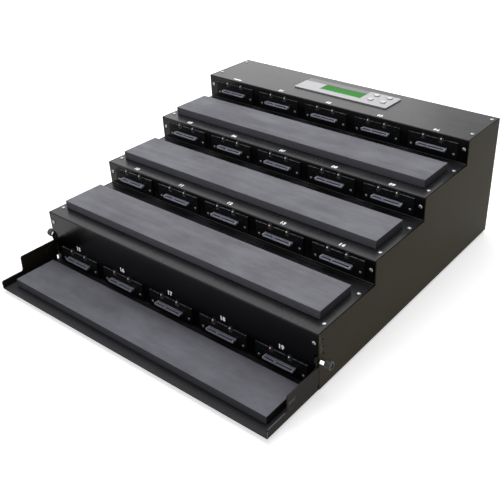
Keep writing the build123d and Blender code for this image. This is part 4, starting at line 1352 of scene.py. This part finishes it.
    def _components(self, shop: Workshop, boards: list[Solid], parts: SmallParts) -> None:
        """Chips and resistors round each connector."""
        for label, part, places in (
            ("chips", parts.chip, self.chips),
            ("resistors", parts.resistor, self.resistors),
        ):
            points = [
                (Vector((board.centre.x + x * MM, board.low.y, board.low.z + z * MM)), FRONT)
                for board in boards
                for x, z in places
            ]
            made = shop.repeat.copy(f"board_{label}_{self.row}", part, points, shop.finishes.chip)
            shop.add(made, shop.finishes.chip, "circuit_board")

    def _numbers(self, shop: Workshop, connectors: list[Solid]) -> None:
        """Printed port numbers; the first port of all has a plain bar instead."""
        low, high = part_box(f"tier_cover_{self.row}")
        if self.row == 1:
            spot = Vector((0, low.y - self.front_number_gap, low.z + self.front_number_base))
            turn = Matrix.Rotation(math.pi / 2, 4, "X")
        else:
            spot = Vector((0, low.y + self.number_setback, high.z + self.ink))
            turn = Matrix()
        shape = bmesh.new()
        for number, solid in enumerate(sorted(connectors, key=lambda item: item.centre.x)):
            label = (self.last_row - self.row) * self.row_ports + number
            mesh = self._digits(f"{label:02d}") if label else self._bar()
            spot.x = solid.centre.x
            mesh.transform(Matrix.Translation(spot) @ turn)
            shape.from_mesh(mesh)
        printed = mesh_object(f"port_numbers_{self.row}", to_mesh(shape, "numbers"))
        shop.add(printed, shop.finishes.ink, "panel")

    def _digits(self, text: str) -> bpy.types.Mesh:
        """Two bold figures, standing on the line y = 0 and centred on x = 0."""
        curve = bpy.data.curves.new("digits", "FONT")
        curve.body = text
        curve.align_x = "CENTER"
        curve.size = self.number_height / self.cap_share
        curve.offset = self.boldness
        curve.extrude = self.ink
        curve.space_character = self.letter_space
        curve.resolution_u = 3
        holder = bpy.data.objects.new("digits", curve)
        bpy.context.scene.collection.objects.link(holder)
        mesh = plain_mesh(holder)
        discard(holder)
        return mesh

    def _bar(self) -> bpy.types.Mesh:
        """A plain printed bar as long as a short word."""
        shape = bmesh.new()
        low, high = self.bar_rise
        add_box(shape, Vector((-self.bar_reach, low, -self.ink)), Vector((self.bar_reach, high, self.ink)))
        upright = [edge for edge in shape.edges if abs(edge.verts[0].co.z - edge.verts[1].co.z) > self.ink]
        bmesh.ops.bevel(shape, geom=upright, offset=self.bar_corner, segments=3, affect="EDGES")
        return to_mesh(shape, "bar")


# Control panel


@dataclass(frozen=True)
class ControlPanel:
    """The raised bezel of the display, the rings and the printed marks of the keys."""

    bezel: float = 1.3 * MM
    bezel_height: float = 0.08 * MM
    overlap: float = 0.1 * MM
    root: float = 0.02 * MM
    key_flange: float = 1.1 * MM
    ring: float = 0.45 * MM
    ring_gap: float = 0.35 * MM
    ring_outer_height: float = 0.12 * MM
    ring_inner_height: float = 0.2 * MM
    ring_sides: int = 40
    weld: float = 0.001 * MM
    mark_reach: float = 1.1 * MM
    mark_gap: float = 2.3 * MM
    mark_depth: float = 0.03 * MM

    def build(self, shop: Workshop) -> None:
        """Build the panel's fine parts."""
        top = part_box("panel_plate")[1].z
        self._bezel(shop, top)
        self._rings(shop, top)
        self._marks(shop, top)

    def _bezel(self, shop: Workshop, top: float) -> None:
        """A low frame round the display window."""
        low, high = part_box("display_window")
        shape = bmesh.new()
        left, near = low.x - self.bezel, low.y - self.bezel
        right, far = high.x + self.bezel, high.y + self.bezel
        inner_left, inner_near = low.x - self.overlap, low.y - self.overlap
        inner_right, inner_far = high.x + self.overlap, high.y + self.overlap
        for x0, y0, x1, y1 in (
            (left, near, right, inner_near),
            (left, inner_far, right, far),
            (left, inner_near, inner_left, inner_far),
            (inner_right, inner_near, right, inner_far),
        ):
            add_box(shape, Vector((x0, y0, top - self.root)), Vector((x1, y1, top + self.bezel_height)))
        bmesh.ops.remove_doubles(shape, verts=shape.verts, dist=self.weld)
        frame_piece = mesh_object("display_bezel", to_mesh(shape, "display_bezel"))
        shop.add(frame_piece, shop.finishes.panel, "panel")

    def _rings(self, shop: Workshop, top: float) -> None:
        """A shallow raised ring round each key."""
        shape = bmesh.new()
        for key in range(1, 5):
            low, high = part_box(f"button_{key}")
            centre = (low + high) / 2
            radius = (high.x - low.x) / 2 - self.key_flange + self.ring_gap
            profile = [
                (radius, top - self.root),
                (radius + self.ring, top - self.root),
                (radius + self.ring, top + self.ring_outer_height),
                (radius, top + self.ring_inner_height),
            ]
            ring = to_mesh(lathe(profile, self.ring_sides, closed=True), "ring")
            ring.transform(Matrix.Translation((centre.x, centre.y, 0)))
            shape.from_mesh(ring)
        shop.add(mesh_object("key_rings", to_mesh(shape, "key_rings")), shop.finishes.mark, "panel")

    def _marks(self, shop: Workshop, top: float) -> None:
        """A small printed sign beside each key: up, down, a square and a disc."""
        shape = bmesh.new()
        reach = self.mark_reach
        signs = {
            1: [(-reach, -reach), (reach, -reach), (0, reach)],
            2: [(-reach, reach), (0, -reach), (reach, reach)],
            3: [(-reach, -reach), (reach, -reach), (reach, reach), (-reach, reach)],
            4: [
                (reach * math.cos(math.pi * n / 8), reach * math.sin(math.pi * n / 8)) for n in range(16)
            ],
        }
        for key, outline in signs.items():
            low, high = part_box(f"button_{key}")
            x = low.x - self.mark_gap
            y = (low.y + high.y) / 2
            corners = [shape.verts.new((x + px, y + py, top + self.root)) for px, py in outline]
            face = shape.faces.new(corners)
            lifted = bmesh.ops.extrude_face_region(shape, geom=[face])["geom"]
            for item in lifted:
                if isinstance(item, bmesh.types.BMVert):
                    item.co.z -= self.mark_depth
        shop.add(mesh_object("key_signs", to_mesh(shape, "key_signs")), shop.finishes.mark, "panel")


# Knobs


@dataclass(frozen=True)
class ThumbScrew:
    """The fine grip and end disc of one side knob."""

    side: int
    flutes: int = 28
    facets: int = 4
    flute_depth: float = 0.075
    crease: float = 38.0

    def build(self, shop: Workshop) -> None:
        """Build a fluted knob with a dished end in the space of the plain one."""
        name = "right" if self.side > 0 else "left"
        body = Body.SCREW_RIGHT if self.side > 0 else Body.SCREW_LEFT
        low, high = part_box(f"knob_{name}")
        centre = (low + high) / 2
        radius, length = (high.z - low.z) / 2, high.x - low.x
        outline = [
            (0.0, 0.0, 0.0),
            (0.56, 0.0, 0.0),
            (0.86, 0.02, 0.0),
            (0.97, 0.08, 0.6),
            (1.0, 0.14, 1.0),
            (1.0, 0.84, 1.0),
            (0.97, 0.93, 0.6),
            (0.88, 1.0, 0.0),
            (0.72, 1.0, 0.0),
            (0.64, 0.96, 0.0),
            (0.62, 0.86, 0.0),
            (0.3, 0.85, 0.0),
            (0.26, 0.9, 0.0),
            (0.0, 0.92, 0.0),
        ]
        profile = [(share * radius, height * length) for share, height, _ in outline]
        depths = [self.flute_depth * radius * depth for _, _, depth in outline]
        shape = lathe(profile, self.flutes * self.facets, self.flutes, depths)
        start = Vector((low.x if self.side > 0 else high.x, centre.y, centre.z))
        turn = Matrix.Rotation(self.side * math.pi / 2, 4, "Y")
        shape.transform(Matrix.Translation(start) @ turn)
        mesh = to_mesh(shape, f"grip_{name}", math.radians(self.crease))
        knob = mesh_object(f"grip_{name}", mesh)
        shop.add(knob, shop.finishes.grip, "black_plastic", body, (f"knob_{name}",))


# Camera, light and floor


@dataclass(frozen=True)
class Studio:
    """A pale floor, soft light and the photograph's camera."""

    focal: float = 732.69
    picture: float = 500.0
    sensor: float = 36.0
    nearest: float = 0.01
    principal: tuple[float, float] = (304.52, 232.21)
    eye: tuple[float, float, float] = (561.83, -476.71, 546.02)
    right: tuple[float, float, float] = (0.80279, 0.59617, -0.01000)
    down: tuple[float, float, float] = (0.29858, -0.41646, -0.85873)
    world_level: float = 0.16
    floor_size: float = 14.0
    floor_colour: Colour = (0.8, 0.8, 0.8)
    floor_lift: float = 0.62
    aim: tuple[float, float, float] = (0.0, 0.0, 0.08)
    lamps: tuple = (
        ("back_softbox", (-1.25, 1.25, 0.95), 1.7, 9.5),
        ("top_softbox", (-0.25, 0.6, 1.85), 1.5, 28.0),
        ("front_fill", (-0.9, -1.8, 0.8), 1.4, 8.0),
        ("right_fill", (1.7, 1.5, 0.6), 1.0, 2.6),
    )

    def build(self) -> None:
        """Set up the camera, the lamps, the world and the floor."""
        bpy.context.scene.view_settings.view_transform = "Standard"
        self._camera()
        self._world()
        self._floor()
        for lamp in self.lamps:
            self._lamp(*lamp)

    def _camera(self) -> None:
        """Place the camera that was fitted to the case's corners in the photograph."""
        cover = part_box("tier_cover_1")
        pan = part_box("base_pan")
        origin = Vector((0, cover[0].y, pan[0].z))
        right = Vector(self.right).normalized()
        down = Vector(self.down)
        down = (down - right * down.dot(right)).normalized()
        back = right.cross(-down)
        data = bpy.data.cameras.new("photo_camera")
        data.sensor_width = self.sensor
        data.lens = self.focal / self.picture * self.sensor
        data.shift_x = (self.picture / 2 - self.principal[0]) / self.picture
        data.shift_y = (self.principal[1] - self.picture / 2) / self.picture
        data.clip_start = self.nearest
        camera = bpy.data.objects.new("photo_camera", data)
        bpy.context.scene.collection.objects.link(camera)
        turn = Matrix((right, -down, back)).transposed().to_4x4()
        camera.matrix_world = Matrix.Translation(origin + Vector(self.eye) * MM) @ turn
        bpy.context.scene.camera = camera

    def _world(self) -> None:
        """Even soft light, and white for the camera and for reflections."""
        world = bpy.data.worlds.new("soft_light")
        bpy.context.scene.world = world
        world.use_nodes = True
        graph = Graph(world.node_tree)
        paint = {"Color": (1.0, 1.0, 1.0)}
        soft = graph.value("ShaderNodeBackground", inputs={**paint, "Strength": self.world_level})
        white = graph.value("ShaderNodeBackground", inputs=paint)
        choice = graph.value("ShaderNodeMixShader", inputs={0: graph.looking(), 1: soft, 2: white})
        graph.node("ShaderNodeOutputWorld", inputs={"Surface": choice})

    def _floor(self) -> None:
        """A wide pale floor that keeps the machine's shadow."""
        shape = bmesh.new()
        bmesh.ops.create_grid(shape, x_segments=1, y_segments=1, size=self.floor_size / 2)
        floor = mesh_object("floor", to_mesh(shape, "floor"))
        shader = Shader("floor_pale")
        paint = shader.value("ShaderNodeBsdfDiffuse", inputs={"Color": self.floor_colour})
        glow = {"Color": (1.0, 1.0, 1.0), "Strength": self.floor_lift}
        both = shader.value(
            "ShaderNodeAddShader", inputs={0: paint, 1: shader.value("ShaderNodeEmission", inputs=glow)}
        )
        choice = shader.value("ShaderNodeMixShader", inputs={0: shader.looking(), 1: paint, 2: both})
        shader.tree.links.new(choice.socket, shader.output.inputs["Surface"])
        floor.data.materials.append(shader.material)

    def _lamp(self, name: str, place: Sequence[float], size: float, power: float) -> None:
        """One square softbox that points at the machine."""
        data = bpy.data.lights.new(name, "AREA")
        data.size = size
        data.energy = power
        lamp = bpy.data.objects.new(name, data)
        bpy.context.scene.collection.objects.link(lamp)
        spot = Vector(place)
        turn = (Vector(self.aim) - spot).to_track_quat("-Z", "Y").to_matrix().to_4x4()
        lamp.matrix_world = Matrix.Translation(spot) @ turn


# The whole machine


@dataclass(frozen=True)
class Duplicator:
    """Dresses the CAD nodes and builds every added piece."""

    rows: int = 4
    sheet: float = 1.2 * MM

    def _scuffs_and_highlights(self) -> dict[str, tuple[ScuffAndHighlight, ...]]:
        """Marks on the right side sheet and the tray's right wall, painted highlights among them, and a
        painted highlight along the risers' feet.
        """
        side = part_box("side_panel_right")
        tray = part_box("tray")
        front, foot, x = side[0].y, side[0].z, side[1].x
        wall = tray[1].x

        def spot(x_place: float, back: float, up: float) -> Vector:
            """A point given in millimetres behind the front sheet and above the base."""
            return Vector((x_place, front + back * MM, foot + up * MM))

        decks = [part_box(f"tier_cover_{row}") for row in range(1, self.rows)]
        feet = [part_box(f"tier_cover_{row}")[0].y - self.sheet for row in range(2, self.rows + 1)]
        side_marks = (
            ((1.2, 50.0), (5.5, 56.0), 0.5, 0.9),
            ((1.8, 57.9), (6.7, 57.6), 0.45, 0.9),
            ((1.0, 60.7), (0.9, 74.0), 0.35, 0.9),
        )
        wall_marks_and_highlights = (
            ((-52.3, 21.2), (-41.8, 22.5), 0.4, 0.9),
            ((-52.3, 19.6), (-42.3, 20.0), 0.4, 0.9),
            ((-87.2, 10.6), (-87.2, 2.6), 0.5, 0.9),
            # The last wall mark is a painted highlight on the step's top front corner.
            ((-55.2, 32.0), (-54.2, 32.0), 0.8, 0.9),
        )
        # A painted highlight along the top edge of the tray's low wall.
        rim_highlights = (((-85.2, 11.4), (-58.0, 11.4), 0.4, 0.7),)

        def marks(x_place: float, table: Sequence[tuple]) -> tuple[ScuffAndHighlight, ...]:
            """The marks of one upright face, from their ends, widths and strengths."""
            return tuple(
                ScuffAndHighlight(spot(x_place, *start), spot(x_place, *end), width * MM, strength)
                for start, end, width, strength in table
            )

        # A painted highlight on each deck along the foot of the riser behind it.
        foot_highlights = tuple(
            ScuffAndHighlight(Vector((low.x, line, high.z)), Vector((high.x, line, high.z)), 0.9 * MM, 0.22)
            for (low, high), line in zip(decks, feet)
        )
        tray_marks_and_highlights = marks(wall, wall_marks_and_highlights) + marks(wall - self.sheet, rim_highlights)
        return {"side": marks(x, side_marks), "tray": tray_marks_and_highlights, "deck": foot_highlights}

    def _dress(self, shop: Workshop) -> None:
        """Give every CAD node that stays visible its finish."""
        coats = shop.finishes
        rows = range(1, self.rows + 1)
        for finish, nodes in (
            (coats.deck, [f"tier_cover_{row}" for row in rows[:-1]]),
            (coats.top, [f"tier_cover_{self.rows}"]),
            (coats.side, ["side_panel_right"]),
            (coats.case, ["side_panel_left", "base_pan", "back_panel"]),
            (coats.tray, ["tray", "tray_ears", "pivot_nuts"]),
            (coats.connector, [f"drive_connectors_{row}" for row in rows]),
            (coats.board, ["backplanes", *[f"port_boards_{row}" for row in rows]]),
            (coats.board_flat, ["key_board", "display_module", "controller_board", "supply_board"]),
            (coats.black, ["lamp_holders", "port_headers", "power_inlet", "switch_frame", "switch_rocker"]),
            (coats.black, ["fan_frames", "fan_rotor_left", "fan_rotor_right"]),
            (coats.screw, ["port_standoffs", "board_standoffs"]),
            (coats.red_lamp, ["red_lamps"]),
            (coats.green_lamp, ["green_lamps"]),
            (coats.panel, ["panel_plate"]),
            (coats.display, ["display_window"]),
            (coats.button, [f"button_{key}" for key in range(1, 5)]),
            (coats.rubber, ["feet"]),
            (coats.chrome, ["pivot_shank_left", "pivot_shank_right", "fan_guards"]),
            (coats.zinc, ["supply_case"]),
            (coats.alloy, ["heat_sink"]),
            (coats.ribbon, ["data_cables"]),
            (coats.lead, ["power_leads"]),
        ):
            shop.dress(finish, *nodes)

    def build(self) -> None:
        """Dress the frame, then build and report each sub-assembly."""
        shop = Workshop(Finishes(self._scuffs_and_highlights()))
        self._dress(shop)
        Fasteners().build(shop)
        foam, coats = FoamRest(), shop.finishes
        for number in range(1, self.rows):
            foam.build(shop, coats.foam, f"foam_rest_{number}", f"foam_pad_{number}", Body.CASE)
        foam.build(shop, coats.shaded_foam_tray, "foam_rest_tray", "tray_pad", Body.TRAY)
        parts = SmallParts()
        for row in range(1, self.rows + 1):
            PortRow(row).build(shop, parts)
        parts.discard()
        ControlPanel().build(shop)
        for side in (-1, 1):
            ThumbScrew(side).build(shop)
        LOG.info("%d pieces", shop.count)


def main() -> None:
    """Build the looks, the light and the camera."""
    logging.basicConfig(level=logging.INFO, format="%(name)s: %(message)s")
    Duplicator().build()
    Studio().build()


if __name__ == "__main__":
    main()
